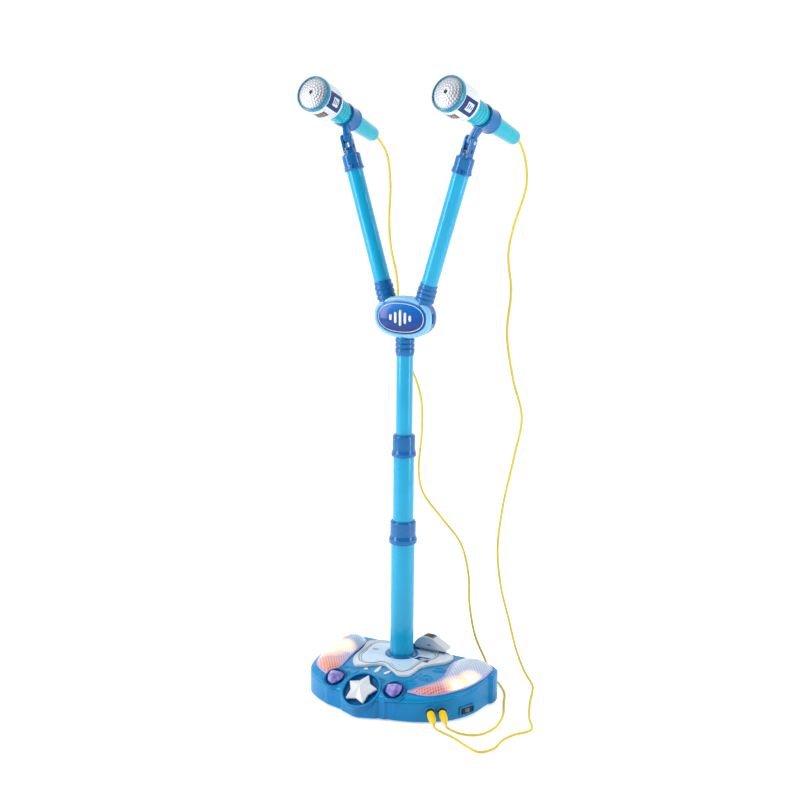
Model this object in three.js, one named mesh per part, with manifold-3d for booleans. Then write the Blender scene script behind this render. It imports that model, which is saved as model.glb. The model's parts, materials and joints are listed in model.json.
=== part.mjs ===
// A children's double toy microphone: a light-up base with a three-stage telescopic pole, a hub that
// carries two arms, and a tilting microphone on each arm, wired to the base by its own cord.
//
// Millimetres, +Z up. The origin is on the floor under the pole's axis and the front faces -Y.

import * as THREE from 'three';
import { mergeVertices } from 'three/addons/utils/BufferGeometryUtils.js';
import Module from 'manifold-3d';

const wasm = await Module();
wasm.setup();

// ---------------------------------------------------------------- driving dimensions

const GAP = 0.3; // between pieces that touch or nest
const WALL = 2.4; // moulded shells
const ROUND = 16; // sides of a large turned piece
const SMALL_ROUND = 10; // sides of a small turned piece

// Base
const BASE_CENTRE = { x: 0, y: -45 };
const SHELL_BOTTOM = 2.4;
const EDGE_FRONT_Z = 31; // top of the outer wall at the front
const EDGE_RISE = 0.115; // how fast that wall gets taller towards the back
const BASE_FRONT_Y = -147;
const BASE_BACK_Y = 42;
const PLATEAU_Z = 50;
const PLATE_THICK = 2.6;

// Pole: three tubes, each sliding in the one below
const LOWER_TUBE = { radius: 18.4, bottom: 9.5, top: 244 };
const MIDDLE_TUBE = { radius: 16.05, bottom: 122, top: 379 };
const UPPER_TUBE = { radius: 12.6, bottom: 262, top: 556 };
const LOWER_COLLAR = { bottom: 234, shoulder: 246, top: 270, flare: 21.9, body: 19.9 };
const UPPER_COLLAR = { bottom: 371, shoulder: 381, top: 405, flare: 19.1, body: 17.3 };
const SOCKET_TOP_Z = 55.5;
const SOCKET_RADIUS = 21.8;

// Hub and arms
const HUB = { z: 585, halfWidth: 47.5, halfHeight: 31, front: -12.5, back: 16 };
const BOTTOM_SOCKET = { bottom: 527, top: 553, radius: 14.6 };
const ARM_LEAN = 16.8; // degrees out from the vertical
const ARM_ROOT_Z = 505; // where both arm axes meet the pole's axis
const ARM_RADIUS = 12.4;
const ARM_SOCKET = { bottom: 112, top: 137, radius: 14.4 }; // distances along the arm's axis
const ARM_BOTTOM = 106;
const ARM_COLLAR = { bottom: 307, shoulder: 314, top: 332, flare: 15.4, body: 14 };

// Clip that holds each microphone
const FORK = { width: 16, depth: 13, slot: 7.4, pin: 23, top: 31 };
const PIN_RADIUS = 2.2;
const MIC_TILT = { left: 18.5, right: 16.5 }; // degrees up from square to the arm
const MIC_TURN = { left: 5, right: -14 }; // degrees that each fork is turned about its arm
const MIC_LIFT = 39; // from the tilt pin to the microphone's axis
const CLIP_BAND = { centre: -9, length: 27, inner: 15.6, outer: 17.4 };

// Microphone: distances along its axis from the front ring, towards the tail
const MIC = { headRadius: 26.4, dome: 9, ringBack: 3.4, bandBack: 44, threadBack: 80, tail: 182 };
const CLIP_FROM_RING = 98;

// Buttons and pedal
const STAR = { x: 2, y: -129.4, z: 39.2, lean: 36, turn: -4.4, radius: 25.5, dish: 28, stem: 5.6 };
const GEM = { x: 50.5, y: -116.5, z: 43.4, lean: 32, radius: 12.6, dish: 15, stem: 4.6 };
const PEDAL = { left: 6, right: 63, front: 27, back: 47, hingeX: 10, hingeZ: 59.5, ears: [27.5, 38] };

// Sockets in the base's right front wall
const JACKS = [
  { name: 'left', x: 107.2, y: -108.6 },
  { name: 'right', x: 121, y: -97.6 },
];
const JACK = { z: 19, turn: -51, bore: 2.1, radius: 5.2 };
const PLUG_DIP = 13; // degrees below the horizontal
const SWITCH = { x: 144, y: -62, z: 13.5, turn: -24, slotLength: 20, slotHeight: 7, knob: 8 };

// Cords
const CORD = { radius: 1.9, sides: 8, steps: 64 };

// ---------------------------------------------------------------- materials

const plastic = (color, roughness = 0.35) =>
  new THREE.MeshStandardMaterial({ color, roughness, metalness: 0 });
const metal = (color, roughness = 0.3) =>
  new THREE.MeshStandardMaterial({ color, roughness, metalness: 1 });

const BASE_BLUE = plastic(0x0f7fc4);
const TUBE_CYAN = plastic(0x17a9d8, 0.25);
const COLLAR_BLUE = plastic(0x0b6cbc);
const HANDLE_CYAN = plastic(0x2cb9d6);
const BEZEL_TEAL = plastic(0x2397b8);
const RIM_BLUE = plastic(0x8fcbf0);
const BADGE_NAVY = plastic(0x053a86);
const WHITE = plastic(0xf2f4f6);
const LENS_CLEAR = new THREE.MeshStandardMaterial({
  color: 0xdfe9f5,
  roughness: 0.1,
  transparent: true,
  opacity: 0.5,
});
const GEM_LILAC = plastic(0xb9a6d8, 0.1);
const CORD_YELLOW = plastic(0xe0c85a, 0.5);
const PLUG_YELLOW = plastic(0xf7d51f, 0.4);
const GRILLE_SILVER = metal(0xd9dadd);
const STEEL = metal(0xb8bcc2);
const BOARD_GREEN = plastic(0x1e6b3a, 0.6);
const DARK = plastic(0x23252a, 0.6);
const RUBBER = plastic(0x2b2c30, 0.9);
const CELL_GREY = plastic(0x6d7278, 0.4);

// ---------------------------------------------------------------- shape helpers

const radians = THREE.MathUtils.degToRad;

// A closed three.js geometry as a solid that can be joined and cut.
function solid(geometry) {
  const bare = geometry.clone();
  bare.deleteAttribute('normal');
  bare.deleteAttribute('uv');
  const merged = mergeVertices(bare, 1e-4);
  const corners = merged.index.array;
  const kept = [];
  for (let i = 0; i < corners.length; i += 3) {
    const [a, b, c] = [corners[i], corners[i + 1], corners[i + 2]];
    if (a !== b && b !== c && c !== a) kept.push(a, b, c);
  }
  return new wasm.Manifold(
    new wasm.Mesh({
      numProp: 3,
      vertProperties: new Float32Array(merged.attributes.position.array),
      triVerts: new Uint32Array(kept),
    }),
  );
}

function geometryOf(manifold) {
  const { vertProperties, triVerts } = manifold.getMesh();
  const geometry = new THREE.BufferGeometry();
  geometry.setAttribute('position', new THREE.BufferAttribute(vertProperties, 3));
  geometry.setIndex(new THREE.BufferAttribute(triVerts, 1));
  geometry.computeVertexNormals();
  return geometry;
}

const combine = (method, first, others) =>
  geometryOf(others.reduce((body, other) => body[method](solid(other)), solid(first)));
const join = (first, ...others) => combine('add', first, others);
const cut = (first, ...others) => combine('subtract', first, others);
const common = (first, ...others) => combine('intersect', first, others);

// A body turned about Z. The profile is [radius, z] points: upwards on the outside, and either on
// the axis at both ends or closed on itself.
function turned(profile, sides = ROUND) {
  const points = profile.map(([radius, z]) => new THREE.Vector2(radius, z));
  return new THREE.LatheGeometry(points, sides).rotateX(Math.PI / 2);
}

const disc = (radius, bottom, top, sides = ROUND) =>
  turned([[0, bottom], [radius, bottom], [radius, top], [0, top]], sides);

const sleeve = (outer, inner, bottom, top, sides = ROUND) =>
  turned([[inner, bottom], [outer, bottom], [outer, top], [inner, top], [inner, bottom]], sides);

const box = (x0, x1, y0, y1, z0, z1) =>
  new THREE.BoxGeometry(x1 - x0, y1 - y0, z1 - z0).translate(
    (x0 + x1) / 2,
    (y0 + y1) / 2,
    (z0 + z1) / 2,
  );

// A slab with the given outline, between two heights.
function slab(outline, bottom, top) {
  const shape = new THREE.Shape(outline.map(([x, y]) => new THREE.Vector2(x, y)));
  const depth = top - bottom;
  return new THREE.ExtrudeGeometry(shape, { depth, bevelEnabled: false }).translate(0, 0, bottom);
}

// Points of a smooth curve through the given ones.
function smooth(points, steps) {
  const through = points.map(([x, y]) => new THREE.Vector3(x, y, 0));
  const curve = new THREE.CatmullRomCurve3(through, false, 'centripetal');
  return curve.getSpacedPoints(steps).map(({ x, y }) => [x, y]);
}

const mirrored = (points) => points.map(([x, y]) => [-x, y]).reverse();

// Rings of as many points each, stacked from the bottom up and closed by a fan at both ends.
function loft(rings) {
  const count = rings[0].length;
  const middle = (ring) => [0, 1, 2].map((k) => ring.reduce((sum, p) => sum + p[k], 0) / count);
  const positions = [...rings.flat(2), ...middle(rings[0]), ...middle(rings.at(-1))];
  const [below, above] = [rings.length * count, rings.length * count + 1];
  const last = (rings.length - 1) * count;
  const index = [];
  for (let i = 0; i < count; i++) {
    const j = (i + 1) % count;
    index.push(below, j, i, above, last + i, last + j);
    for (let k = 0; k < rings.length - 1; k++) {
      const [a, b] = [k * count + i, k * count + j];
      index.push(a, b, b + count, a, b + count, a + count);
    }
  }
  const geometry = new THREE.BufferGeometry();
  geometry.setAttribute('position', new THREE.Float32BufferAttribute(positions, 3));
  geometry.setIndex(index);
  return geometry;
}

// ---------------------------------------------------------------- scene helpers

const toy = new THREE.Group();

function group(parent, { position = [0, 0, 0], rotation = [0, 0, 0] } = {}) {
  const made = new THREE.Group();
  made.position.set(...position);
  made.rotation.set(...rotation.map(radians));
  parent.add(made);
  return made;
}

function part(parent, name, geometry, material) {
  const mesh = new THREE.Mesh(geometry, material);
  mesh.name = name;
  parent.add(mesh);
  return mesh;
}

// ---------------------------------------------------------------- the base's outer form

// The outline, in two halves from the middle of the front to the middle of the back. The front has
// a prow under the star with stepped facets beside it; the right end is longer and has a corner post.
const rightHalf = [
  [2, BASE_FRONT_Y],
  [6, BASE_FRONT_Y],
  [31, -138],
  [34, -134.5],
  [44, -134],
  [48, -131],
  ...smooth([[59, -129], [87, -119.5], [111, -105.5], [133, -84], [148, -52], [153, -5]], 8),
  [158, 1],
  [158.5, 10],
  [157, 19],
  [150, 25],
  ...smooth([[146, 29], [130, 38], [104, BASE_BACK_Y]], 3),
  [0, BASE_BACK_Y],
];
const LEFT_CURVE = [
  [59, -127], [86, -113], [108, -95], [118, -74], [122, -45], [122, -5], [116, 24], [88, BASE_BACK_Y],
];
const leftHalf = [
  [-2, BASE_FRONT_Y],
  [2, BASE_FRONT_Y],
  [27, -137],
  [31, -133.5],
  ...smooth(LEFT_CURVE, 11),
  [0, BASE_BACK_Y],
];
const baseOutline = [...rightHalf, ...mirrored(leftHalf).slice(1, -1)];

// The outline moved inwards by a distance, point by point.
function inset(outline, distance) {
  const count = outline.length;
  return outline.map(([x, y], i) => {
    const [x0, y0] = outline[(i + count - 1) % count];
    const [x1, y1] = outline[(i + 1) % count];
    const length = Math.hypot(x1 - x0, y1 - y0);
    return [x - ((y1 - y0) / length) * distance, y + ((x1 - x0) / length) * distance];
  });
}

const edgeHeight = (y) => EDGE_FRONT_Z + (Math.min(y, 15) - BASE_FRONT_Y) * EDGE_RISE;

// The top rises steeply from the outer wall and flattens out; share is 1 at the wall, 0 in the middle.
function domeHeight(y, share) {
  const edge = edgeHeight(y);
  return edge + (PLATEAU_Z - edge) * (1 - share ** 4) ** 0.6;
}

const DOME_SHARES = [0.98, 0.9, 0.7];

// The base's form as a solid: moved in from the wall by margin, and up by lift.
function baseForm(margin, lift, bottom) {
  const outline = inset(baseOutline, margin);
  const atShare = (share) =>
    outline.map(([x, y]) => {
      const px = BASE_CENTRE.x + (x - BASE_CENTRE.x) * share;
      const py = BASE_CENTRE.y + (y - BASE_CENTRE.y) * share;
      return [px, py, domeHeight(py, share) + lift];
    });
  const wall = [bottom, edgeHeight(BASE_FRONT_Y) + lift - 4].map((z, k) =>
    outline.map(([x, y]) => [x, y, k ? edgeHeight(y) + lift - 4 : z]),
  );
  return loft([...wall, atShare(1), ...DOME_SHARES.map(atShare)]);
}

const outerForm = baseForm(0, 0, SHELL_BOTTOM);

// A turned or slab shape set on the base at a button's place, leaning forwards.
const onButton = (button, geometry, side = 1) =>
  geometry.rotateX(radians(button.lean)).translate(side * button.x, button.y, button.z);

// ---------------------------------------------------------------- light lenses

// Each lens is a curved strip between an outer and an inner edge, both from its front tip to its back.
const LENS_SPANS = 10;
const lensEdges = {
  right: {
    outer: [
      [72, -113], [98, -107], [119, -91], [133, -71], [143, -50], [148, -26], [150.5, -4], [149, 15],
      [137, 30], [118, 35],
    ],
    inner: [
      [72, -113], [88, -90], [97, -70], [98, -45], [90, -14], [87, 8], [94, 27], [118, 35],
    ],
    tallest: 60,
  },
  left: {
    outer: [
      [-68, -112], [-90, -98], [-105, -81], [-113, -58], [-116, -30], [-115, 0], [-108, 20], [-92, 30],
    ],
    inner: [
      [-68, -112], [-60, -92], [-62, -70], [-67, -46], [-71, -12], [-74, 10], [-80, 25], [-92, 30],
    ],
    tallest: 64,
  },
};

// The strip's outline, and for each of its points the one on its middle line that it narrows to.
function lensStrip(side) {
  const outer = smooth(lensEdges[side].outer, LENS_SPANS);
  const inner = smooth(lensEdges[side].inner, LENS_SPANS);
  const middle = outer.map(([x, y], k) => [(x + inner[k][0]) / 2, (y + inner[k][1]) / 2]);
  const spine = outer.map((_, k) => middle[Math.min(Math.max(k, 2), LENS_SPANS - 2)]);
  const strip = {
    outline: [...outer, ...inner.slice(1, -1).reverse()],
    spine: [...spine, ...spine.slice(1, -1).reverse()],
  };
  if (side === 'right') return strip;
  return { outline: strip.outline.reverse(), spine: strip.spine.reverse() };
}

// How far towards the wall a point of the top is, from 0 in the middle to 1.
function shareAt(x, y) {
  const [dx, dy] = [x - BASE_CENTRE.x, y - BASE_CENTRE.y];
  const reach = baseOutline.map(([ox, oy], i) => {
    const [nx, ny] = baseOutline[(i + 1) % baseOutline.length];
    const [ex, ey] = [nx - ox, ny - oy];
    const [px, py] = [ox - BASE_CENTRE.x, oy - BASE_CENTRE.y];
    const cross = dx * ey - dy * ex;
    const along = (px * ey - py * ex) / cross;
    const across = (px * dy - py * dx) / cross;
    return along > 0 && across >= 0 && across <= 1 ? along : Infinity;
  });
  return Math.min(0.99, 1 / Math.min(...reach));
}

const surfaceHeight = (x, y) => domeHeight(y, shareAt(x, y));

// The lens bulges above the top, most along its middle line.
function lensForm(side, margin, sink) {
  const { outline, spine } = lensStrip(side);
  const edge = inset(outline, margin);
  const { tallest } = lensEdges[side];
  const ring = (share, height) =>
    edge.map(([x, y], k) => {
      const px = spine[k][0] + (x - spine[k][0]) * share;
      const py = spine[k][1] + (y - spine[k][1]) * share;
      return [px, py, height(px, py, share, k) - sink];
    });
  const rim = edge.map(([x, y]) => surfaceHeight(x, y) + 1.2);
  const crown = (y) => tallest - 0.12 * Math.max(0, -y - 20);
  const bulge = (x, y, share, k) => rim[k] + (crown(y) - rim[k]) * (1 - share ** 2.2) ** 0.75;
  return loft([
    ring(1, () => 29),
    ring(1, (x, y, share, k) => rim[k]),
    ...[0.94, 0.8, 0.55, 0.25].map((share) => ring(share, bulge)),
  ]);
}

function lens(side) {
  return cut(lensForm(side, 0.5, 0), lensForm(side, 0.5 + WALL, WALL));
}

// ---------------------------------------------------------------- base shells

const stemHole = ({ stem }) => disc(stem + 0.6, -20, 0, SMALL_ROUND);

function starPod() {
  const pod = disc(STAR.dish + WALL, -9, 2.6);
  return onButton(STAR, cut(pod, disc(STAR.dish, -4.2, 20)));
}

function gemSeat(side) {
  const seat = disc(GEM.dish + 2, -7, 1.8);
  return onButton(GEM, cut(seat, disc(GEM.dish, -2.4, 20)), side);
}

// Two ears and a rest for the pedal, moulded on the plate's back right corner.
function pedalEars() {
  const ears = PEDAL.ears.map((y) => box(PEDAL.left - 1, PEDAL.left + 9, y, y + 3, 46, 65));
  const rest = box(PEDAL.right - 14, PEDAL.right - 4, 31, 40, 46, 55.5);
  const pinHole = disc(2.3, -60, 0, SMALL_ROUND).rotateX(Math.PI / 2);
  return cut(join(...ears, rest), pinHole.translate(PEDAL.hingeX, 0, PEDAL.hingeZ));
}

const jackBore = ({ x, y }) =>
  disc(JACK.radius + GAP, -16, 14, SMALL_ROUND)
    .rotateY(radians(90 + PLUG_DIP))
    .rotateZ(radians(JACK.turn))
    .translate(x, y, JACK.z);

const switchSlot = (length, height, depth) =>
  new THREE.BoxGeometry(depth, length, height)
    .rotateZ(radians(SWITCH.turn))
    .translate(SWITCH.x, SWITCH.y, SWITCH.z);

function topShell() {
  const shell = cut(outerForm, baseForm(WALL, -WALL, -5));
  const cleared = cut(
    shell,
    onButton(STAR, disc(STAR.dish + 0.6, -5, 40)),
    onButton(GEM, disc(GEM.dish + 0.6, -3.4, 30), 1),
    onButton(GEM, disc(GEM.dish + 0.6, -3.4, 30), -1),
  );
  const seated = join(cleared, starPod(), gemSeat(1), gemSeat(-1), pedalEars());
  return cut(
    seated,
    onButton(STAR, stemHole(STAR)),
    onButton(GEM, stemHole(GEM), 1),
    onButton(GEM, stemHole(GEM), -1),
    slab(lensStrip('right').outline, 26, 90),
    slab(lensStrip('left').outline, 26, 90),
    disc(SOCKET_RADIUS + GAP, 30, 70),
    ...JACKS.map(jackBore),
    switchSlot(SWITCH.slotLength, SWITCH.slotHeight, 16),
  );
}

// ---------------------------------------------------------------- power and sound

const CELLS = { x: -66, y: -22, z: 12.1, length: 50, radius: 7, pitch: 15.2, count: 3 };
const TRAY = {
  x0: CELLS.x - 29.5,
  x1: CELLS.x + 29.5,
  y0: CELLS.y - 24,
  y1: CELLS.y + 24,
  top: 21.5,
};
const BOARD = { x: 62, y: -66, width: 66, depth: 40, z: 14 };
const SPEAKER = { x: 74, y: -8, radius: 23, z: 5.6 };
const LED_PLACES = [
  { name: 'right', x: 119, y: -32, z: 31 },
  { name: 'left', x: -91, y: -38, z: 31 },
];

const post = (x, y, top) => disc(3, 4.5, top, 12).translate(x, y, 0);

function bottomCover() {
  const outline = inset(baseOutline, WALL + 0.6);
  const posts = [
    ...LED_PLACES.flatMap(({ x, y, z }) => [-22, 22].map((dy) => post(x, y + dy, z - GAP))),
    ...[-1, 1].flatMap((sx) =>
      [-1, 1].map((sy) => post(BOARD.x + sx * 28, BOARD.y + sy * 15, BOARD.z - GAP)),
    ),
  ];
  const tray = box(TRAY.x0 - 2, TRAY.x1 + 2, TRAY.y0 - 2, TRAY.y1 + 2, 3, TRAY.top);
  const hollow = box(TRAY.x0, TRAY.x1, TRAY.y0, TRAY.y1, 0, TRAY.top - 2);
  const slots = [-14, -7, 0, 7, 14].map((dy) =>
    box(SPEAKER.x - 15, SPEAKER.x + 15, SPEAKER.y + dy - 1.5, SPEAKER.y + dy + 1.5, 0, 8),
  );
  return cut(join(slab(outline, 2.6, 5), tray, ...posts), hollow, ...slots);
}

function batteryDoor() {
  const plate = box(TRAY.x0 + GAP, TRAY.x1 - GAP, TRAY.y0 + GAP, TRAY.y1 - GAP, 2.7, 4.7);
  const latch = box(CELLS.x - 6, CELLS.x + 6, TRAY.y1 - 5, TRAY.y1 - 2, 0, 3.6);
  return cut(plate, latch);
}

function cell() {
  const { length, radius } = CELLS;
  const [cap, capRadius] = [1.6, 2.7];
  const profile = [
    [0, 0], [radius, 0], [radius, length - cap], [capRadius, length - cap], [capRadius, length], [0, length],
  ];
  return turned(profile, SMALL_ROUND).translate(0, 0, -length / 2).rotateY(Math.PI / 2);
}

function circuitBoard() {
  const { x, y, z, width, depth } = BOARD;
  const board = box(x - width / 2, x + width / 2, y - depth / 2, y + depth / 2, z, z + 1.6);
  const chip = box(x - 10, x + 6, y - 7, y + 9, z + 1, z + 5);
  const capacitor = disc(4, z + 1, z + 13, 14).translate(x + 22, y + 10, 0);
  const header = box(x - 28, x - 12, y - 17, y - 11, z + 1, z + 8);
  return join(board, chip, capacitor, header);
}

function speaker() {
  const { x, y, z, radius } = SPEAKER;
  const profile = [
    [0, z + 2], [8, z + 3], [radius - 4, z], [radius, z], [radius, z + 4], [radius - 8, z + 9],
    [radius - 8, z + 15], [0, z + 15],
  ];
  return turned(profile, 24).translate(x, y, 0);
}

// A strip with two domed lamps.
function lampStrip({ x, y, z }) {
  const strip = box(x - 6, x + 6, y - 27, y + 27, z, z + 1.6);
  const lamps = [-12, 12].map((dy) =>
    turned([[0, z + 1], [3.5, z + 1], [3.5, z + 5], [2.4, z + 7.6], [0, z + 8.6]], 12)
      .translate(x, y + dy, 0),
  );
  return join(strip, ...lamps);
}

function foot(radius) {
  return turned([[0, 0], [radius, 0], [radius + 0.6, 0.8], [radius + 0.6, 2.3], [0, 2.3]], 20);
}

// ---------------------------------------------------------------- splash plate on the base's top

const SPLASH_EDGE = [
  [40, 38], [66, 36], [77, 27], [80, 14], [77, 0], [60, -22], [52, -38], [53, -58], [50, -75], [38, -79],
  [24, -70], [10, -60], [0, -54], [-13, -59], [-25, -71], [-38, -77], [-51, -64], [-59, -44],
  [-62, -22], [-66, -4], [-71, 15], [-64, 30], [-44, 38],
];

function splashPlate() {
  const outline = smooth([...SPLASH_EDGE].reverse(), 34);
  const raised = (lift) => baseForm(0, lift, 20);
  return cut(
    common(slab(outline, 30, 80), raised(GAP + PLATE_THICK)),
    raised(GAP),
    disc(SOCKET_RADIUS + 5.2, 30, 80),
    box(PEDAL.left - 2, PEDAL.right + 1, PEDAL.front - 1, 60, 30, 80),
  );
}

// ---------------------------------------------------------------- buttons, pedal and switch

function starOutline(radius) {
  const points = [];
  for (let k = 0; k < 10; k++) {
    const reach = k % 2 ? radius * 0.62 : radius;
    const angle = Math.PI / 2 + radians(STAR.turn) + (k * Math.PI) / 5;
    points.push([reach * Math.cos(angle), reach * Math.sin(angle)]);
  }
  return points;
}

// Five raised ridges meet in a peak over a short stem.
function starButton() {
  const outline = starOutline(STAR.radius);
  const level = (share, z) => outline.map(([x, y]) => [x * share, y * share, z]);
  const star = loft([level(1, -1), level(1, 2.2), level(0.02, 10.5)]);
  return join(star, disc(STAR.stem, -15, 0, SMALL_ROUND));
}

function gemButton() {
  const profile = [[0, 0], [10, 0], [GEM.radius, 1.2], [GEM.radius - 0.6, 3.4], [9, 7.2], [0, 8.4]];
  return join(turned(profile, 10), disc(GEM.stem, -12, 1, SMALL_ROUND));
}

// The pedal's arched side view, extruded from front to back.
function pedal() {
  const { left, right, front, back, hingeX, hingeZ, ears } = PEDAL;
  const arch = smooth(
    [[left + 1, 63], [left + 7, 71], [left + 17, 76], [left + 31, 75.5], [left + 43, 69.5], [right, 62]],
    12,
  );
  const outline = [...arch, [right - 1, 59], [left + 12, 58.4], [left + 4, 56]].reverse();
  const body = slab(outline, 0, back - front).rotateX(Math.PI / 2).translate(0, back, 0);
  const hollow = box(left + 13, right - 6, front + 3, back - 3, 50, 67);
  const earSlots = ears.map((y) => box(left - 8, left + 11, y - 1, y + 4, 40, 68));
  const hub = disc(3.8, ears[0] + 4, ears[1] - 1, SMALL_ROUND).rotateX(-Math.PI / 2);
  const trimmed = cut(body, hollow, ...earSlots);
  const pin = disc(1.9, ears[0], ears[1] + 3, SMALL_ROUND).rotateX(-Math.PI / 2);
  return join(trimmed, hub.translate(hingeX, 0, hingeZ), pin.translate(hingeX, 0, hingeZ));
}

function switchKnob() {
  const body = new THREE.BoxGeometry(9, SWITCH.knob, SWITCH.slotHeight - 1).translate(-2.5, 0, 0);
  const grip = new THREE.BoxGeometry(3, SWITCH.knob - 3, SWITCH.slotHeight - 2.5).translate(3, 0, 0);
  return join(body, grip).rotateZ(radians(SWITCH.turn)).translate(SWITCH.x, SWITCH.y, SWITCH.z);
}

function switchHousing() {
  const block = new THREE.BoxGeometry(6, SWITCH.slotLength + 6, SWITCH.slotHeight + 4);
  return block.translate(-11, 0, 0).rotateZ(radians(SWITCH.turn)).translate(SWITCH.x, SWITCH.y, SWITCH.z);
}

// ---------------------------------------------------------------- jacks, plugs and cords

// The socket and its plug lie along local +Z, out of the wall and slightly down.
const plugGroup = (jack) => {
  const holder = group(toy, { position: [jack.x, jack.y, JACK.z], rotation: [0, 0, JACK.turn] });
  return group(holder, { rotation: [0, 90 + PLUG_DIP, 0] });
};

const jackSocket = () => {
  const profile = [
    [JACK.bore, -12], [JACK.radius, -12], [JACK.radius, 2], [JACK.radius + 1.4, 2],
    [JACK.radius + 1.4, 3.2], [JACK.bore, 3.2], [JACK.bore, -12],
  ];
  return turned(profile, SMALL_ROUND);
};

const PLUG_LENGTH = 30;
function plug() {
  const profile = [
    [0, -9], [1.4, -8], [1.75, -6], [1.75, 3.6], [5, 3.6], [5.6, 6], [5.6, 17], [4.6, 23],
    [2.7, 26], [2.2, PLUG_LENGTH], [0, PLUG_LENGTH],
  ];
  return turned(profile, SMALL_ROUND);
}

// Where a group's local point lies in the toy's own frame.
function placeOf(holder, x, y, z) {
  toy.updateWorldMatrix(true, true);
  return holder.localToWorld(new THREE.Vector3(x, y, z));
}

function cord(start, startTail, route, endTail, end) {
  const points = [start, startTail, ...route.map((p) => new THREE.Vector3(...p)), endTail, end];
  const curve = new THREE.CatmullRomCurve3(points, false, 'centripetal');
  const section = new THREE.Shape();
  section.absarc(0, 0, CORD.radius, 0, 2 * Math.PI);
  return new THREE.ExtrudeGeometry(section, {
    extrudePath: curve,
    steps: CORD.steps,
    curveSegments: CORD.sides / 2,
  });
}

// ---------------------------------------------------------------- pole, collars and hub

// A tube with an open bottom and top.
const tube = ({ radius, bottom, top }, wall) => sleeve(radius, radius - wall, bottom, top);

// A lock collar: a flared foot over the lower tube's end and a plain body round the upper tube.
function collar({ bottom, shoulder, top, flare, body }, lowerRadius, upperRadius, seat) {
  return turned([
    [lowerRadius + GAP, bottom], [flare, bottom], [flare, shoulder - 4], [body, shoulder],
    [body, top - 2], [body - 1.6, top], [upperRadius + GAP, top], [upperRadius + GAP, seat + GAP],
    [lowerRadius + GAP, seat + GAP], [lowerRadius + GAP, bottom],
  ]);
}

// A ribbed socket: straight ribs with grooves between them and a narrow end.
function ribbedSocket(radius, inner, bottom, top, narrowEnd) {
  const ribs = 3;
  const taper = 5;
  const pitch = (top - bottom - taper) / ribs;
  const start = narrowEnd === 'bottom' ? bottom + taper : bottom;
  const outside = [];
  for (let k = 0; k < ribs; k++) {
    const z = start + k * pitch;
    outside.push([radius, z], [radius, z + pitch * 0.7], [radius - 1.1, z + pitch * 0.78]);
  }
  outside.push([radius - 1.1, start + ribs * pitch]);
  const ends = narrowEnd === 'bottom' ? [[inner + 0.6, bottom]] : [];
  const crown = narrowEnd === 'top' ? [[inner + 0.6, top]] : [];
  const innerTop = narrowEnd === 'top' ? top : start + ribs * pitch;
  const loop = [[inner, bottom], ...ends, ...outside, ...crown, [inner, innerTop]];
  return turned([...loop, [inner, bottom]]);
}

function hubOutline(margin) {
  const points = [];
  const count = 24;
  for (let k = 0; k < count; k++) {
    const angle = (2 * Math.PI * k) / count;
    const [c, s] = [Math.cos(angle), Math.sin(angle)];
    const x = Math.sign(c) * Math.abs(c) ** 0.86 * (HUB.halfWidth - margin);
    const z = Math.sign(s) * Math.abs(s) ** 0.86 * (HUB.halfHeight - margin);
    points.push([x, z]);
  }
  return points;
}

// A hub layer between two depths, its edge eased in by the given margins.
function hubLayer(levels) {
  return loft(
    levels.map(([depth, margin]) => hubOutline(margin).map(([x, z]) => [x, z, depth])),
  )
    .rotateX(Math.PI / 2)
    .translate(0, 0, HUB.z);
}

const HUB_SPLIT = 2; // the depth behind the front half

const armTools = (extra, from, to) =>
  [1, -1].map((side) =>
    disc(ARM_RADIUS + extra, from, to)
      .rotateY(radians(side * ARM_LEAN))
      .translate(0, 0, ARM_ROOT_Z),
  );

// hubLayer's depth axis points to the front, so front is the larger depth.
function hubFront() {
  const outside = hubLayer([[-HUB_SPLIT + GAP, 0], [9, 0], [-HUB.front, 2.6]]);
  const hollow = hubLayer([[-HUB_SPLIT - 5, WALL], [8, WALL], [-HUB.front - WALL, 4.6]]);
  const badgeSeat = hubLayer([[-HUB.front - 1.2, 6.4], [30, 6.4]]);
  return cut(outside, hollow, badgeSeat, ...armTools(GAP, 60, 260), disc(UPPER_TUBE.radius + GAP, 500, 570));
}

function hubRear() {
  const outside = hubLayer([[-HUB.back, 4.5], [-10, 0.6], [-HUB_SPLIT, 0]]);
  const hollow = hubLayer([[-HUB.back + WALL, 7], [-9, WALL + 0.6], [30, WALL]]);
  const screwBoss = disc(4, 4, HUB.back - 1, 14).rotateX(-Math.PI / 2).translate(0, 0, HUB.z + 12);
  const body = join(cut(outside, hollow), screwBoss);
  return cut(body, ...armTools(GAP, 60, 260), disc(UPPER_TUBE.radius + GAP, 500, 570));
}

function hubBadge() {
  return hubLayer([[-HUB.front - 1.2 + GAP, 6.7], [-HUB.front + 0.4, 6.7], [-HUB.front + 1.6, 8.4]]);
}

// ---------------------------------------------------------------- fork, clip and microphone

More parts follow.
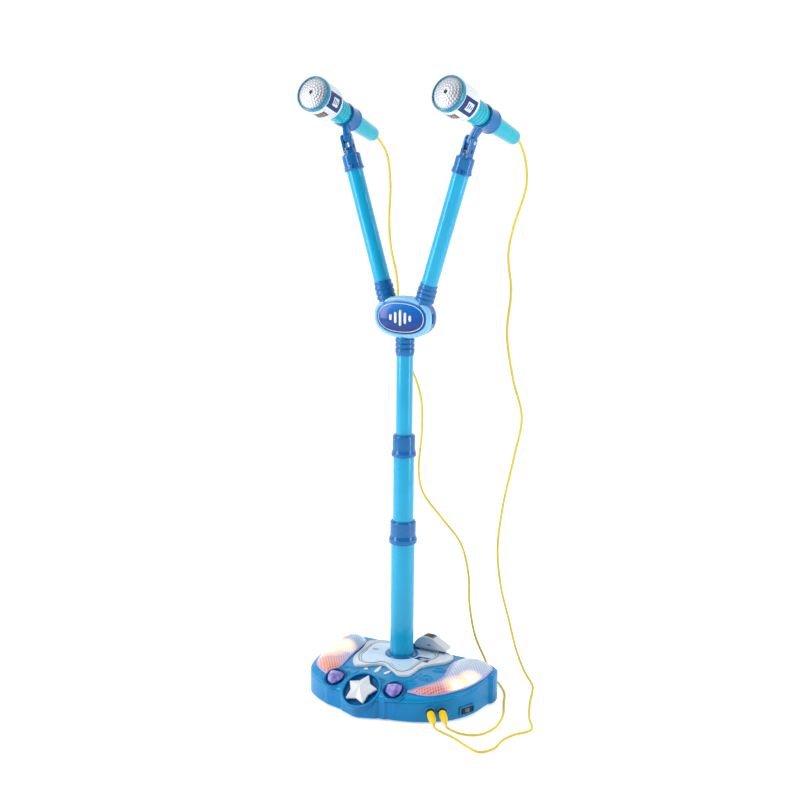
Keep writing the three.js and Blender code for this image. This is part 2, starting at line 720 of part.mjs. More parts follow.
// Local +Z runs up the arm and local -Y points to the front.
function fork() {
  const base = ARM_COLLAR.top - 6;
  const stem = disc(8, base - 8, ARM_COLLAR.top + 8, SMALL_ROUND);
  const top = ARM_COLLAR.top + FORK.top;
  const cheekBlock = box(-FORK.width / 2, FORK.width / 2, -FORK.depth / 2, FORK.depth / 2,
    ARM_COLLAR.top + 2, top - FORK.depth / 2);
  const roundTop = disc(FORK.depth / 2, -FORK.width / 2, FORK.width / 2, SMALL_ROUND)
    .rotateY(Math.PI / 2)
    .translate(0, 0, ARM_COLLAR.top + FORK.top - FORK.depth / 2 - 0.01);
  const slot = box(-FORK.slot / 2, FORK.slot / 2, -20, 20, ARM_COLLAR.top + 10, top + 5);
  const pinHole = disc(PIN_RADIUS + GAP / 2, -20, 20, SMALL_ROUND)
    .rotateY(Math.PI / 2)
    .translate(0, 0, ARM_COLLAR.top + FORK.pin);
  return cut(join(stem, cheekBlock, roundTop), slot, pinHole);
}

const tiltPin = () => {
  const half = FORK.width / 2;
  const profile = [[0, -half - 1.6], [3, -half - 1.6], [3, -half - 0.4], [PIN_RADIUS - 0.2, -half - 0.4],
    [PIN_RADIUS - 0.2, half + 0.4], [3, half + 0.4], [3, half + 1.6], [0, half + 1.6]];
  return turned(profile, 16).rotateY(Math.PI / 2);
};

// The clip's own frame: origin at the tilt pin, +Z up to the microphone, +Y to its tail.
function clip() {
  const { centre, length, inner, outer } = CLIP_BAND;
  const band = sleeve(outer, inner, -length / 2, length / 2)
    .rotateX(-Math.PI / 2)
    .translate(0, -centre, MIC_LIFT);
  const thick = FORK.slot - 2 * GAP;
  const eye = disc(5.4, -thick / 2, thick / 2, SMALL_ROUND).rotateY(Math.PI / 2);
  const tongue = slab([[-4, 0], [5, 0], [11, 25], [-3, 25]], -thick / 2, thick / 2);
  const upright = tongue.rotateX(Math.PI / 2).rotateZ(Math.PI / 2);
  const hole = disc(PIN_RADIUS + GAP, -20, 20, SMALL_ROUND).rotateY(Math.PI / 2);
  const bore = disc(inner, -40, 40).rotateX(-Math.PI / 2).translate(0, 0, MIC_LIFT);
  return cut(join(band, eye, upright), hole, bore);
}

// The microphone's pieces turn about local +Z, which runs from the ring to the tail.
function grille() {
  const rim = MIC.headRadius - 3.2;
  return turned([
    [0, -MIC.dome], [9, -MIC.dome + 0.9], [17, -MIC.dome + 3.6], [rim, -1.5], [rim, 1],
    [rim - 1.5, 1], [15.5, -MIC.dome + 5.4], [8, -MIC.dome + 2.8], [0, -MIC.dome + 2],
  ], ROUND);
}

function bezel() {
  const { headRadius, ringBack } = MIC;
  return turned([
    [headRadius - 2.6, -4.5], [headRadius - 0.6, -4.2], [headRadius, -1.5],
    [headRadius, ringBack], [headRadius - 4.5, ringBack], [headRadius - 4.5, 1.6],
    [headRadius - 2.6, 1.3], [headRadius - 2.6, -4.5],
  ], ROUND);
}

function band() {
  const { headRadius, ringBack, bandBack } = MIC;
  const front = ringBack + GAP;
  return turned([
    [headRadius - 3, front], [headRadius - 0.3, front], [headRadius - 0.3, bandBack - 6],
    [headRadius - 2.4, bandBack], [16, bandBack], [16, bandBack - 2.4], [headRadius - 4.6, bandBack - 5],
    [headRadius - 3, front],
  ], ROUND);
}

function handle() {
  const { bandBack, threadBack, tail } = MIC;
  const front = bandBack + GAP;
  const pitch = (threadBack - front - 6) / 4;
  const threads = [0, 1, 2, 3].flatMap((k) => {
    const z = front + 4 + k * pitch;
    const radius = 18.9 - 0.45 * k;
    return [[radius, z], [radius, z + pitch * 0.55], [radius - 1.2, z + pitch * 0.75]];
  });
  return turned([
    [13, front], [18.6, front], ...threads, [16.9, threadBack - 2], [14.9, threadBack],
    [14.4, threadBack + 32], [13.6, threadBack + 36], [11.4, tail - 8], [9.4, tail - 2.6], [5, tail],
    [0, tail], [0, tail - 4], [6, tail - 12], [12, threadBack + 34], [13, front],
  ], ROUND);
}

// ---------------------------------------------------------------- assembly

function addBase() {
  part(toy, 'base_top_shell', topShell(), BASE_BLUE);
  part(toy, 'base_bottom_cover', bottomCover(), BASE_BLUE);
  part(toy, 'battery_door', batteryDoor(), BASE_BLUE);
  part(toy, 'splash_plate', splashPlate(), WHITE);
  part(toy, 'circuit_board', circuitBoard(), BOARD_GREEN);
  part(toy, 'speaker', speaker(), DARK);
  for (let k = 0; k < CELLS.count; k++) {
    const y = CELLS.y + (k - 1) * CELLS.pitch;
    part(group(toy, { position: [CELLS.x, y, CELLS.z] }), `battery_${k + 1}`, cell(), CELL_GREY);
  }
  for (const place of LED_PLACES) {
    part(toy, `lens_${place.name}`, lens(place.name), LENS_CLEAR);
    part(toy, `lamp_strip_${place.name}`, lampStrip(place), BOARD_GREEN);
  }
  const corners = [
    ['front_left', -88, -92],
    ['front_right', 100, -96],
    ['rear_left', -104, 18],
    ['rear_right', 134, 18],
  ];
  for (const [name, x, y] of corners) {
    part(group(toy, { position: [x, y, 0] }), `foot_${name}`, foot(8), RUBBER);
  }
  part(toy, 'foot_centre', foot(14), RUBBER);
}

function addControls() {
  part(toy, 'star_button', onButton(STAR, starButton()), WHITE);
  part(toy, 'gem_button_left', onButton(GEM, gemButton(), -1), GEM_LILAC);
  part(toy, 'gem_button_right', onButton(GEM, gemButton(), 1), GEM_LILAC);
  part(toy, 'pedal', pedal(), WHITE);
  part(toy, 'power_switch', switchKnob(), DARK);
  part(toy, 'switch_housing', switchHousing(), DARK);
}

function poleSocket() {
  const inner = LOWER_TUBE.radius + GAP;
  return turned([
    [6, 5.3], [SOCKET_RADIUS, 5.3], [SOCKET_RADIUS, 50.6], [SOCKET_RADIUS + 4.6, 50.8],
    [SOCKET_RADIUS + 4.2, SOCKET_TOP_Z - 1.4], [SOCKET_RADIUS + 2.8, SOCKET_TOP_Z], [inner, SOCKET_TOP_Z],
    [inner, LOWER_TUBE.bottom - GAP], [6, LOWER_TUBE.bottom - GAP], [6, 5.3],
  ]);
}

function addPole() {
  part(toy, 'pole_socket', poleSocket(), COLLAR_BLUE);
  part(toy, 'lower_tube', tube(LOWER_TUBE, 2), TUBE_CYAN);
  part(toy, 'middle_tube', tube(MIDDLE_TUBE, 2), TUBE_CYAN);
  part(toy, 'upper_tube', tube(UPPER_TUBE, 1.6), TUBE_CYAN);
  part(toy, 'lower_collar',
    collar(LOWER_COLLAR, LOWER_TUBE.radius, MIDDLE_TUBE.radius, LOWER_TUBE.top), COLLAR_BLUE);
  part(toy, 'upper_collar',
    collar(UPPER_COLLAR, MIDDLE_TUBE.radius, UPPER_TUBE.radius, MIDDLE_TUBE.top), COLLAR_BLUE);
}

function addHub() {
  part(toy, 'hub_front', hubFront(), RIM_BLUE);
  part(toy, 'hub_rear', hubRear(), RIM_BLUE);
  part(toy, 'hub_badge', hubBadge(), BADGE_NAVY);
  const { radius, bottom, top } = BOTTOM_SOCKET;
  part(toy, 'hub_socket', ribbedSocket(radius, UPPER_TUBE.radius + GAP, bottom, top, 'bottom'), COLLAR_BLUE);
}

function addMicrophone(head, name) {
  const along = group(head, {
    position: [0, -CLIP_BAND.centre - CLIP_FROM_RING, MIC_LIFT],
    rotation: [-90, 0, 0],
  });
  part(head, `mic_clip_${name}`, clip(), COLLAR_BLUE);
  part(along, `mic_grille_${name}`, grille(), GRILLE_SILVER);
  part(along, `mic_bezel_${name}`, bezel(), BEZEL_TEAL);
  part(along, `mic_band_${name}`, band(), WHITE);
  part(along, `mic_handle_${name}`, handle(), HANDLE_CYAN);
  return along;
}

function addArm(side, name) {
  const arm = group(toy, { position: [0, 0, ARM_ROOT_Z], rotation: [0, side * ARM_LEAN, 0] });
  part(arm, `arm_${name}`, sleeve(ARM_RADIUS, ARM_RADIUS - 1.6, ARM_BOTTOM, ARM_COLLAR.shoulder), TUBE_CYAN);
  part(arm, `arm_socket_${name}`,
    ribbedSocket(ARM_SOCKET.radius, ARM_RADIUS + GAP, ARM_SOCKET.bottom, ARM_SOCKET.top, 'top'), COLLAR_BLUE);
  part(arm, `arm_collar_${name}`,
    collar(ARM_COLLAR, ARM_RADIUS, 8, ARM_COLLAR.shoulder), COLLAR_BLUE);
  const turnedFork = group(arm, { rotation: [0, 0, MIC_TURN[name]] });
  part(turnedFork, `fork_${name}`, fork(), COLLAR_BLUE);
  const pinPlace = { position: [0, 0, ARM_COLLAR.top + FORK.pin] };
  part(group(turnedFork, pinPlace), `tilt_pin_${name}`, tiltPin(), STEEL);
  const head = group(turnedFork, { ...pinPlace, rotation: [-MIC_TILT[name], 0, 0] });
  return addMicrophone(head, name);
}

// The left microphone's cord ends in the right jack and the right one's in the left jack.
const ROUTES = {
  left: {
    jack: 'right',
    points: [
      [-103, 122, 822], [-90, 112, 776], [-86, 102, 715], [-81, 100, 676], [-70, 100, 630],
      [-68, 100, 590], [-70, 100, 540], [-46, 98, 498], [-24, 98, 445], [-21, 98, 390], [-27, 100, 325],
      [-20, 102, 288], [14, 104, 249], [48, 104, 213], [64, 102, 165], [68, 100, 116], [80, 98, 66],
      [99, 95, 32], [119, 86, 8], [137, 73, 2.2], [156, 48, 2.2], [172, 12, 2.2], [191, -34, 2.2],
      [198, -80, 2.2], [188, -111, 2.2], [164, -123, 3.5],
    ],
  },
  right: {
    jack: 'left',
    points: [
      [136, 118, 820], [143, 110, 780], [127, 102, 716], [121, 100, 676], [127, 100, 622],
      [122, 100, 556], [134, 100, 487], [150, 100, 430], [139, 100, 366], [123, 100, 290],
      [115, 100, 215], [122, 100, 155], [138, 100, 100], [150, 102, 55], [166, 102, 20],
      [182, 96, 4], [192, 74, 2.2], [207, 30, 2.2], [227, -18, 2.2], [247, -58, 2.2], [232, -86, 2.2],
      [226, -112, 2.2], [227, -142, 2.2], [214, -162, 2.2], [190, -154, 2.2], [163, -142, 4],
    ],
  },
};

function addCords(microphones) {
  const plugs = {};
  for (const jack of JACKS) {
    const holder = plugGroup(jack);
    part(holder, `jack_${jack.name}`, jackSocket(), DARK);
    part(holder, `plug_${jack.name}`, plug(), PLUG_YELLOW);
    plugs[jack.name] = holder;
  }
  for (const [name, { jack, points }] of Object.entries(ROUTES)) {
    const mic = microphones[name];
    const start = placeOf(mic, 0, 0, MIC.tail + GAP);
    const startTail = placeOf(mic, 0, 0, MIC.tail + 10);
    const endTail = placeOf(plugs[jack], 0, 0, PLUG_LENGTH + 9);
    const end = placeOf(plugs[jack], 0, 0, PLUG_LENGTH + GAP);
    part(toy, `cord_${name}`, cord(start, startTail, points, endTail, end), CORD_YELLOW);
  }
}

addBase();
addControls();
addPole();
addHub();
addCords({ left: addArm(-1, 'left'), right: addArm(1, 'right') });

export default toy;
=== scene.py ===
import json
import math

import bmesh
import bpy
import numpy as np
from mathutils import Matrix, Vector


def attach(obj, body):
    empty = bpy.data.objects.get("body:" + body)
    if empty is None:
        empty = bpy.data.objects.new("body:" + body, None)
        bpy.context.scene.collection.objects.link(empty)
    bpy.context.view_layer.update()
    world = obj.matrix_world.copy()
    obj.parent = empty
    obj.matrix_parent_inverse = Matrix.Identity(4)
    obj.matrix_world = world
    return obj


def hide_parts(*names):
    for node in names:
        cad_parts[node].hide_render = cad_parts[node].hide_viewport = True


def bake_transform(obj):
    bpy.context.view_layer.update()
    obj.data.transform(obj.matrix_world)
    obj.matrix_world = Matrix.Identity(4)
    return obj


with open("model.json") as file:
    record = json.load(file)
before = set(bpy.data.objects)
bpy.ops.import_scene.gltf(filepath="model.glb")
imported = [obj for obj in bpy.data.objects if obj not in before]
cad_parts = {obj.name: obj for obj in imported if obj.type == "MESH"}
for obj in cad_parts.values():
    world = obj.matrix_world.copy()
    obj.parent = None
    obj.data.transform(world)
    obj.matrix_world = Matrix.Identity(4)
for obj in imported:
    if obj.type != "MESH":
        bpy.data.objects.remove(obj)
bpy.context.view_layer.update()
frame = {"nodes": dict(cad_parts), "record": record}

# Shapes are written in millimetres and become metres when their mesh is made.
MM = 0.001

# ---------- sizes shared with the CAD model

BASE_CENTRE = np.array([0.0, -45.0])
BASE_FRONT_Y = -147
BASE_BACK_Y = 42
EDGE_FRONT_Z = 31
EDGE_RISE = 0.115
EDGE_LEVEL_Y = 15
PLATEAU_Z = 50
SHELL_BOTTOM = 2.4

STAR = {"x": 2, "y": -129.4, "z": 39.2, "lean": 36, "turn": -4.4, "radius": 25.5, "dish": 28}
GEM = {"x": 50.5, "y": -116.5, "z": 43.4, "lean": 32, "dish": 15}
JACKS = {"left": (107.2, -108.6), "right": (121, -97.6)}
JACK_Z = 19
JACK_TURN = -51
PLUG_DIP = 13
PLUG_LENGTH = 30
SWITCH = (144, -62, 13.5)
SWITCH_TURN = -24

HUB_Z = 585
HUB_HALF = (47.5, 31)
HUB_POWER = 0.86
ARM_LEAN = 16.8
ARM_ROOT_Z = 505
ARM_COLLAR_TOP = 332
FORK_PIN = 23
MIC_TILT = {"left": 18.5, "right": 16.5}
MIC_TURN = {"left": 5, "right": -14}
MIC_LIFT = 39
RING_FROM_PIN = -89
SIDES = {"left": -1, "right": 1}
HEAD_RADIUS = 26.4
RING_BACK = 3.4
BAND_BACK = 44
THREAD_BACK = 80
TAIL = 182

# ---------- camera

CAMERA_DISTANCE = 2.13
CAMERA_HEIGHT = 0.88
CAMERA_AZIMUTH = 28.5
CAMERA_PITCH = 11.21
CAMERA_ROLL = 0.61
CAMERA_FOCAL_MM = 64.575
CAMERA_SENSOR_MM = 36
CAMERA_SHIFT = -0.005525


def add_camera():
    """The photograph's view: from the front right, slightly above the middle."""
    data = bpy.data.cameras.new("camera")
    data.lens = CAMERA_FOCAL_MM
    data.sensor_width = CAMERA_SENSOR_MM
    data.shift_x = CAMERA_SHIFT
    data.clip_start = 0.05
    data.clip_end = 50
    camera = bpy.data.objects.new("camera", data)
    away = turn(CAMERA_AZIMUTH, "Z") @ shift(0, -CAMERA_DISTANCE, CAMERA_HEIGHT)
    camera.matrix_world = away @ turn(90 - CAMERA_PITCH, "X") @ turn(CAMERA_ROLL, "Z")
    bpy.context.collection.objects.link(camera)
    bpy.context.scene.camera = camera


# ---------- materials


def linear(code):
    """A hex colour as linear red, green, blue and alpha."""
    channels = [int(code[k : k + 2], 16) / 255 for k in (1, 3, 5)]
    curve = [c / 12.92 if c <= 0.04045 else ((c + 0.055) / 1.055) ** 2.4 for c in channels]
    return [*curve, 1.0]


def shade(colour, amount):
    return [min(1.0, c * amount) for c in colour[:3]] + [1.0]


def add_node(tree, kind, sockets=None, **settings):
    """A new node; its sockets get a value or a link from another node."""
    made = tree.nodes.new(kind)
    for key, value in settings.items():
        setattr(made, key, value)
    for key, value in (sockets or {}).items():
        if isinstance(value, bpy.types.NodeSocket):
            tree.links.new(value, made.inputs[key])
        else:
            made.inputs[key].default_value = value
    return made


class Look:
    """A material and the nodes that give it its detail."""

    def __init__(self, name, **sockets):
        self.material = bpy.data.materials.new(name)
        self.material.use_nodes = True
        self.tree = self.material.node_tree
        self.shader = self.tree.nodes["Principled BSDF"]
        for socket, value in sockets.items():
            self.shader.inputs[socket.replace("_", " ")].default_value = value
        self.at = self.node("ShaderNodeTexCoord").outputs["Object"]

    def node(self, kind, sockets=None, **settings):
        return add_node(self.tree, kind, sockets, **settings)

    def feed(self, socket, value):
        self.tree.links.new(value, self.shader.inputs[socket])

    def noise(self, scale, detail=3.0):
        sockets = {"Vector": self.at, "Scale": scale, "Detail": detail}
        return self.node("ShaderNodeTexNoise", sockets).outputs["Fac"]

    def spread(self, value, low, high, start=0.3, end=0.7):
        sockets = {"Value": value, "From Min": start, "From Max": end, "To Min": low, "To Max": high}
        return self.node("ShaderNodeMapRange", sockets).outputs["Result"]

    def ramp(self, value, *stops):
        made = self.node("ShaderNodeValToRGB", {"Fac": value})
        elements = made.color_ramp.elements
        elements[0].position = stops[0][0]
        elements[1].position = stops[-1][0]
        for position, _ in stops[1:-1]:
            elements.new(position)
        for element, (_, colour) in zip(elements, stops):
            element.color = colour
        return made.outputs["Color"]

    def blend(self, factor, first, second):
        """A mix of two colours; inputs 6 and 7 and output 2 are the mix node's colour ones."""
        made = self.node("ShaderNodeMix", {0: factor, 6: first, 7: second}, data_type="RGBA")
        return made.outputs[2]

    def axis(self, name):
        return self.node("ShaderNodeSeparateXYZ", {"Vector": self.at}).outputs[name]

    def gloss(self, scale, low, high):
        """Roughness that wanders between two values."""
        self.feed("Roughness", self.spread(self.noise(scale), low, high))

    def bump(self, height, strength, distance):
        sockets = {"Height": height, "Strength": strength, "Distance": distance}
        self.feed("Normal", self.node("ShaderNodeBump", sockets).outputs["Normal"])


def plastic(name, code, roughness=0.28, coat=0.25, grain=0.012, mottle=0.04, **more):
    """Moulded plastic: slow tone changes, uneven gloss and a fine grain."""
    look = Look(name, Coat_Weight=coat, Coat_Roughness=0.1, Specular_IOR_Level=0.16, **more)
    base = linear(code)
    stops = ((0.3, shade(base, 1 - mottle)), (0.7, shade(base, 1 + mottle)))
    look.feed("Base Color", look.ramp(look.noise(28.0), *stops))
    look.gloss(140.0, roughness - 0.05, roughness + 0.07)
    look.bump(look.noise(1500.0, 2.0), grain, 0.0003)
    return look.material


def metal(name, code, roughness=0.3):
    """Bare metal: faint dull patches, uneven gloss and a fine grain."""
    look = Look(name, Metallic=1.0)
    base = linear(code)
    look.feed("Base Color", look.ramp(look.noise(90.0), (0.3, shade(base, 0.9)), (0.7, base)))
    look.gloss(400.0, roughness - 0.06, roughness + 0.1)
    look.bump(look.noise(2500.0, 2.0), 0.08, 0.0002)
    return look.material


def glow_factor(look, centre, radius):
    """1 at a lamp's centre and 0 a radius away."""
    sockets = {0: look.at, 1: [c * MM for c in centre]}
    distance = look.node("ShaderNodeVectorMath", sockets, operation="DISTANCE").outputs["Value"]
    return look.spread(distance, 1.0, 0.0, 0.0, radius * MM)


def lens_look(name, stops, lamps, front, back):
    """Clear plastic with a diamond pattern, its colours changing along it, and lamps that glow below."""
    look = Look(name, Coat_Weight=0.8, Coat_Roughness=0.04, Emission_Strength=1.6)
    along = look.spread(look.axis("Y"), 0.0, 1.0, front * MM, back * MM)
    colour = look.ramp(along, *[(where, linear(code)) for where, code in stops])
    cells = None
    for angle in (38, -38):
        sockets = {"Vector": look.at, "Rotation": [0, 0, math.radians(angle)]}
        turned = look.node("ShaderNodeMapping", sockets).outputs["Vector"]
        wave = look.node("ShaderNodeTexWave", {"Vector": turned, "Scale": 78.0}).outputs["Fac"]
        higher = {0: cells or wave, 1: wave}
        cells = look.node("ShaderNodeMath", higher, operation="MAXIMUM").outputs[0]
    lines = look.spread(cells, 0.0, 0.45, 0.8, 1.0)
    colour = look.blend(lines, colour, linear("#E9EEF8"))
    light = None
    for centre, radius, code in lamps:
        factor = glow_factor(look, centre, radius)
        colour = look.blend(factor, colour, linear(code))
        light = look.blend(factor, light or linear("#000000"), linear(code))
    look.feed("Base Color", colour)
    look.feed("Emission Color", light)
    look.gloss(300.0, 0.08, 0.2)
    look.bump(cells, 0.5, 0.0008)
    return look.material


def badge_look():
    """The badge's blue darkens from its top to its bottom."""
    look = Look("badge", Coat_Weight=0.2, Coat_Roughness=0.05, Specular_IOR_Level=0.2)
    height = look.spread(look.axis("Z"), 0.0, 1.0, (HUB_Z - 26) * MM, (HUB_Z + 26) * MM)
    stops = ((0.0, linear("#00225F")), (0.5, linear("#00479A")), (1.0, linear("#0A74C4")))
    look.feed("Base Color", look.ramp(height, *stops))
    look.gloss(200.0, 0.14, 0.26)
    look.bump(look.noise(1200.0), 0.04, 0.0003)
    return look.material


def gem_look(name, code):
    """Lilac crystal plastic: light and dark patches inside, under a clear gloss."""
    look = Look(name, Coat_Weight=1.0, Coat_Roughness=0.03, Subsurface_Weight=0.2)
    base = linear(code)
    inside = look.noise(130.0, 1.0)
    stops = ((0.35, shade(base, 0.62)), (0.5, base), (0.65, shade(base, 1.5)))
    look.feed("Base Color", look.ramp(inside, *stops))
    look.gloss(500.0, 0.05, 0.16)
    look.bump(look.noise(900.0), 0.05, 0.0003)
    return look.material


def rubber(name, code, roughness=0.55):
    return plastic(name, code, roughness, coat=0.0, grain=0.25, mottle=0.08)


BASE_TOP = plastic("base_top", "#0084BC", 0.24, 0.12)
# The walls' blue is darker than the top's: painted shade for sides turned from the light.
BASE_SHADED_SIDE = plastic("base_side_painted_shade", "#0078B2", 0.3, 0.12)
# The dishes' darker blue is painted shade in the recesses round the star and the gems.
DISH_SHADE_BLUE = plastic("dish_painted_shade", "#005896", 0.22, 0.12)
WHITE = plastic("white", "#D2D7DD", 0.26, 0.3, mottle=0.02)
PLATE_BLUE = plastic("plate_blue", "#BFD9EE", 0.3, 0.3, mottle=0.04)
# Grey for the print on the left label, and painted shade along the splash plate's raised lip.
PLATE_GREY_INK_AND_SHADE = plastic("plate_grey_ink_and_shade", "#71879F", 0.4, 0.1)
AZURE = plastic("azure", "#0064A4", 0.22, 0.5, Sheen_Weight=0.2, Sheen_Roughness=0.25)
CYAN = plastic("cyan", "#00A0CC", 0.32, 0.6, Sheen_Weight=0.9, Sheen_Roughness=0.25)
HANDLE = plastic("handle", "#0CA6BC", 0.28, 0.4, Sheen_Weight=0.5, Sheen_Roughness=0.25)
TEAL = plastic("teal", "#0F7E9E", 0.22, 0.5)
LABEL_GREEN = plastic("label_green", "#4C5F4E", 0.4, 0.2, mottle=0.3)
LABEL_ROSE = plastic("label_rose", "#C9456B", 0.4, 0.2)
RIM_BLUE = plastic("rim_blue", "#7EBBE8", 0.22, 0.5)
BADGE = badge_look()
NAVY = plastic("navy", "#02306F", 0.3, 0.2)
LILAC = gem_look("lilac", "#8379C4")
LENS_RIM = plastic("lens_rim", "#A99FDA", 0.12, 0.8, mottle=0.15)
CORD = rubber("cord", "#D8BE4A", 0.45)
PLUG = plastic("plug", "#F0C80E", 0.35, 0.2)
GRILLE = metal("grille", "#B4B8C0", 0.5)
STEEL = metal("steel", "#B9BDC4", 0.28)
DARK = plastic("dark", "#1E2024", 0.5, 0.1)
GRIP = plastic("grip", "#7D838B", 0.5, 0.1)
# The pedal face's bluish tint is painted shade on its white plastic.
PEDAL_FACE_SHADE = plastic("pedal_face_painted_shade", "#D9DCEE", 0.3, 0.3, mottle=0.03)
RUBBER = rubber("rubber", "#26282B", 0.75)
BOARD = plastic("board", "#1C6B3C", 0.5, 0.1)
CELL = metal("cell", "#7B8087", 0.35)
LENS_RIGHT = lens_look(
    "lens_right",
    [(0.0, "#D9604C"), (0.16, "#CF6E60"), (0.34, "#8E8FC8"), (0.62, "#93A9D2"), (1.0, "#9CBFC4")],
    [((131, -66, 54), 26, "#F2B27A"), ((142, -37, 54), 24, "#F5C490"), ((131, -66, 56), 13, "#FFF3C8"),
     ((142, -37, 56), 10, "#FFEFC4")],
    -113,
    35,
)
LENS_LEFT = lens_look(
    "lens_left",
    [(0.0, "#DA5F3E"), (0.2, "#D9805F"), (0.38, "#A592C8"), (0.62, "#8FB4DC"), (1.0, "#94C6E4")],
    [((-95, -54, 58), 26, "#F2AE74"), ((-86, -30, 60), 24, "#F5C792"), ((-95, -54, 60), 12, "#FFF3C8"),
     ((-86, -30, 62), 10, "#FFF2CC")],
    -112,
    30,
)

SLOT_LOOKS = {
    # The base's CAD nodes take the walls' darker blue, which is painted shade.
    "base_blue": BASE_SHADED_SIDE,
    "white": WHITE,
    "azure": AZURE,
    "cyan": CYAN,
    "teal": TEAL,
    "rim_blue": RIM_BLUE,
    "navy": NAVY,
    "lens": LENS_RIGHT,
    "lilac": LILAC,
    "cord_yellow": CORD,
    "plug_yellow": PLUG,
    "grille": GRILLE,
    "steel": STEEL,
    "board": BOARD,
    "dark": DARK,
    "rubber": RUBBER,
    "cell": CELL,
}

# ---------- curves and outlines


def catmull(points, per_span=10):
    """A centripetal Catmull-Rom curve through the points."""
    points = np.array(points, float)
    ends = [2 * points[0] - points[1]], [2 * points[-1] - points[-2]]
    padded = np.concatenate([ends[0], points, ends[1]])
    found = []
    for k in range(1, len(padded) - 2):
        x0, x1, x2, x3 = padded[k - 1 : k + 3]
        gaps = [max(1e-4, np.sqrt(np.linalg.norm(b - a))) for a, b in ((x0, x1), (x1, x2), (x2, x3))]
        d0, d1, d2 = gaps
        t1 = ((x1 - x0) / d0 - (x2 - x0) / (d0 + d1) + (x2 - x1) / d1) * d1
        t2 = ((x2 - x1) / d1 - (x3 - x1) / (d1 + d2) + (x3 - x2) / d2) * d1
        for s in np.arange(per_span) / per_span:
            cubic = 2 * x1 - 2 * x2 + t1 + t2
            square = 3 * x2 - 3 * x1 - 2 * t1 - t2
            found.append(x1 + t1 * s + square * s**2 + cubic * s**3)
    return np.array([*found, points[-1]])


def spaced(points, steps):
    """The line's points moved to equal distances along it."""
    points = np.array(points, float)
    lengths = np.linalg.norm(np.diff(points, axis=0), axis=1)
    along = np.concatenate([[0], np.cumsum(lengths)])
    wanted = np.linspace(0, along[-1], steps + 1)
    return np.stack([np.interp(wanted, along, column) for column in points.T], axis=1)


def smooth(points, steps):
    return spaced(catmull(points, 24), steps).tolist()


def refined(outline, longest):
    """The closed outline with its long stretches divided, its corners kept."""
    found = []
    for a, b in zip(outline, outline[1:] + outline[:1]):
        a, b = np.array(a, float), np.array(b, float)
        parts = max(1, math.ceil(np.linalg.norm(b - a) / longest))
        found += [a + (b - a) * k / parts for k in range(parts)]
    return np.array(found)


def inset(outline, distance):
    """A counter-clockwise outline moved inwards, point by point."""
    outline = np.array(outline, float)
    step = np.roll(outline, -1, axis=0) - np.roll(outline, 1, axis=0)
    step /= np.maximum(np.linalg.norm(step, axis=1, keepdims=True), 1e-9)
    return outline + np.stack([-step[:, 1], step[:, 0]], axis=1) * distance


def counter_clockwise(outline):
    outline = np.array(outline, float)
    following = np.roll(outline, -1, axis=0)
    area = np.sum(outline[:, 0] * following[:, 1] - following[:, 0] * outline[:, 1])
    return outline if area > 0 else outline[::-1]


def soften(profile, radius, steps=4):
    """The profile with its corners rounded; one that ends where it starts is closed."""
    points = [np.array(p, float) for p in profile]
    closed = np.allclose(points[0], points[-1])
    if closed:
        points.pop()
    found = []
    for i, p in enumerate(points):
        if not closed and i in (0, len(points) - 1):
            found.append(p)
            continue
        a, b = points[i - 1], points[(i + 1) % len(points)]
        to_a, to_b = np.linalg.norm(a - p), np.linalg.norm(b - p)
        cut = min(radius, 0.45 * to_a, 0.45 * to_b)
        start, end = p + (a - p) / to_a * cut, p + (b - p) / to_b * cut
        for t in np.linspace(0, 1, steps + 1):
            found.append((1 - t) ** 2 * start + 2 * t * (1 - t) * p + t**2 * end)
    return [*found, found[0]] if closed else found


# ---------- mesh shapes: (points, faces)


def revolve(profile, sides=96):
    """A profile of (radius, height) turned about Z; one that ends where it starts is closed."""
    profile = [tuple(p) for p in profile]
    angles = np.arange(sides) * 2 * math.pi / sides
    points, rings = [], []
    for radius, height in profile:
        count = 1 if radius < 1e-6 else sides
        rings.append(range(len(points), len(points) + count))
        points += [(radius * math.cos(a), radius * math.sin(a), height) for a in angles[:count]]
    faces = []
    for low, high in zip(rings, rings[1:]):
        for k in range(sides):
            n = (k + 1) % sides
            corners = [low[k % len(low)], low[n % len(low)], high[n % len(high)], high[k % len(high)]]
            faces.append(list(dict.fromkeys(corners)))
    return points, [face for face in faces if len(face) > 2]


def loft(rings, caps=(True, True)):
    """Rings of as many points each, joined in order and closed at their ends."""
    count = len(rings[0])
    points = np.concatenate([np.array(ring, float) for ring in rings])
    faces = []
    for k in range(len(rings) - 1):
        for i in range(count):
            j = (i + 1) % count
            faces.append([k * count + i, k * count + j, (k + 1) * count + j, (k + 1) * count + i])
    if caps[0]:
        faces.append(list(range(count))[::-1])
    if caps[1]:
        faces.append([len(points) - count + i for i in range(count)])
    return points, faces


def turned_outline(outline, degrees):
    spin = math.radians(degrees)
    rotation = np.array([[math.cos(spin), -math.sin(spin)], [math.sin(spin), math.cos(spin)]])
    return outline @ rotation.T


def at_height(outline, height):
    outline = np.array(outline, float)
    return np.column_stack([outline, np.full(len(outline), height)])


def slab(outline, low, high, edge=0.5):
    """A flat shape between two heights, its edges eased."""
    outline = counter_clockwise(outline)
    levels = [(edge, low), (0, low + edge), (0, high - edge), (edge * 0.3, high - edge * 0.3), (edge, high)]
    return loft([at_height(inset(outline, margin), z) for margin, z in levels])


def merged(*shapes):
    """Several shapes as one."""
    points, faces, count = [], [], 0
    for shape_points, shape_faces in shapes:
        points += [tuple(p) for p in shape_points]
        faces += [[i + count for i in face] for face in shape_faces]
        count = len(points)
    return points, faces


def moved(shape, matrix):
    change = np.array(matrix)
    return np.array(shape[0], float) @ change[:3, :3].T + change[:3, 3], shape[1]


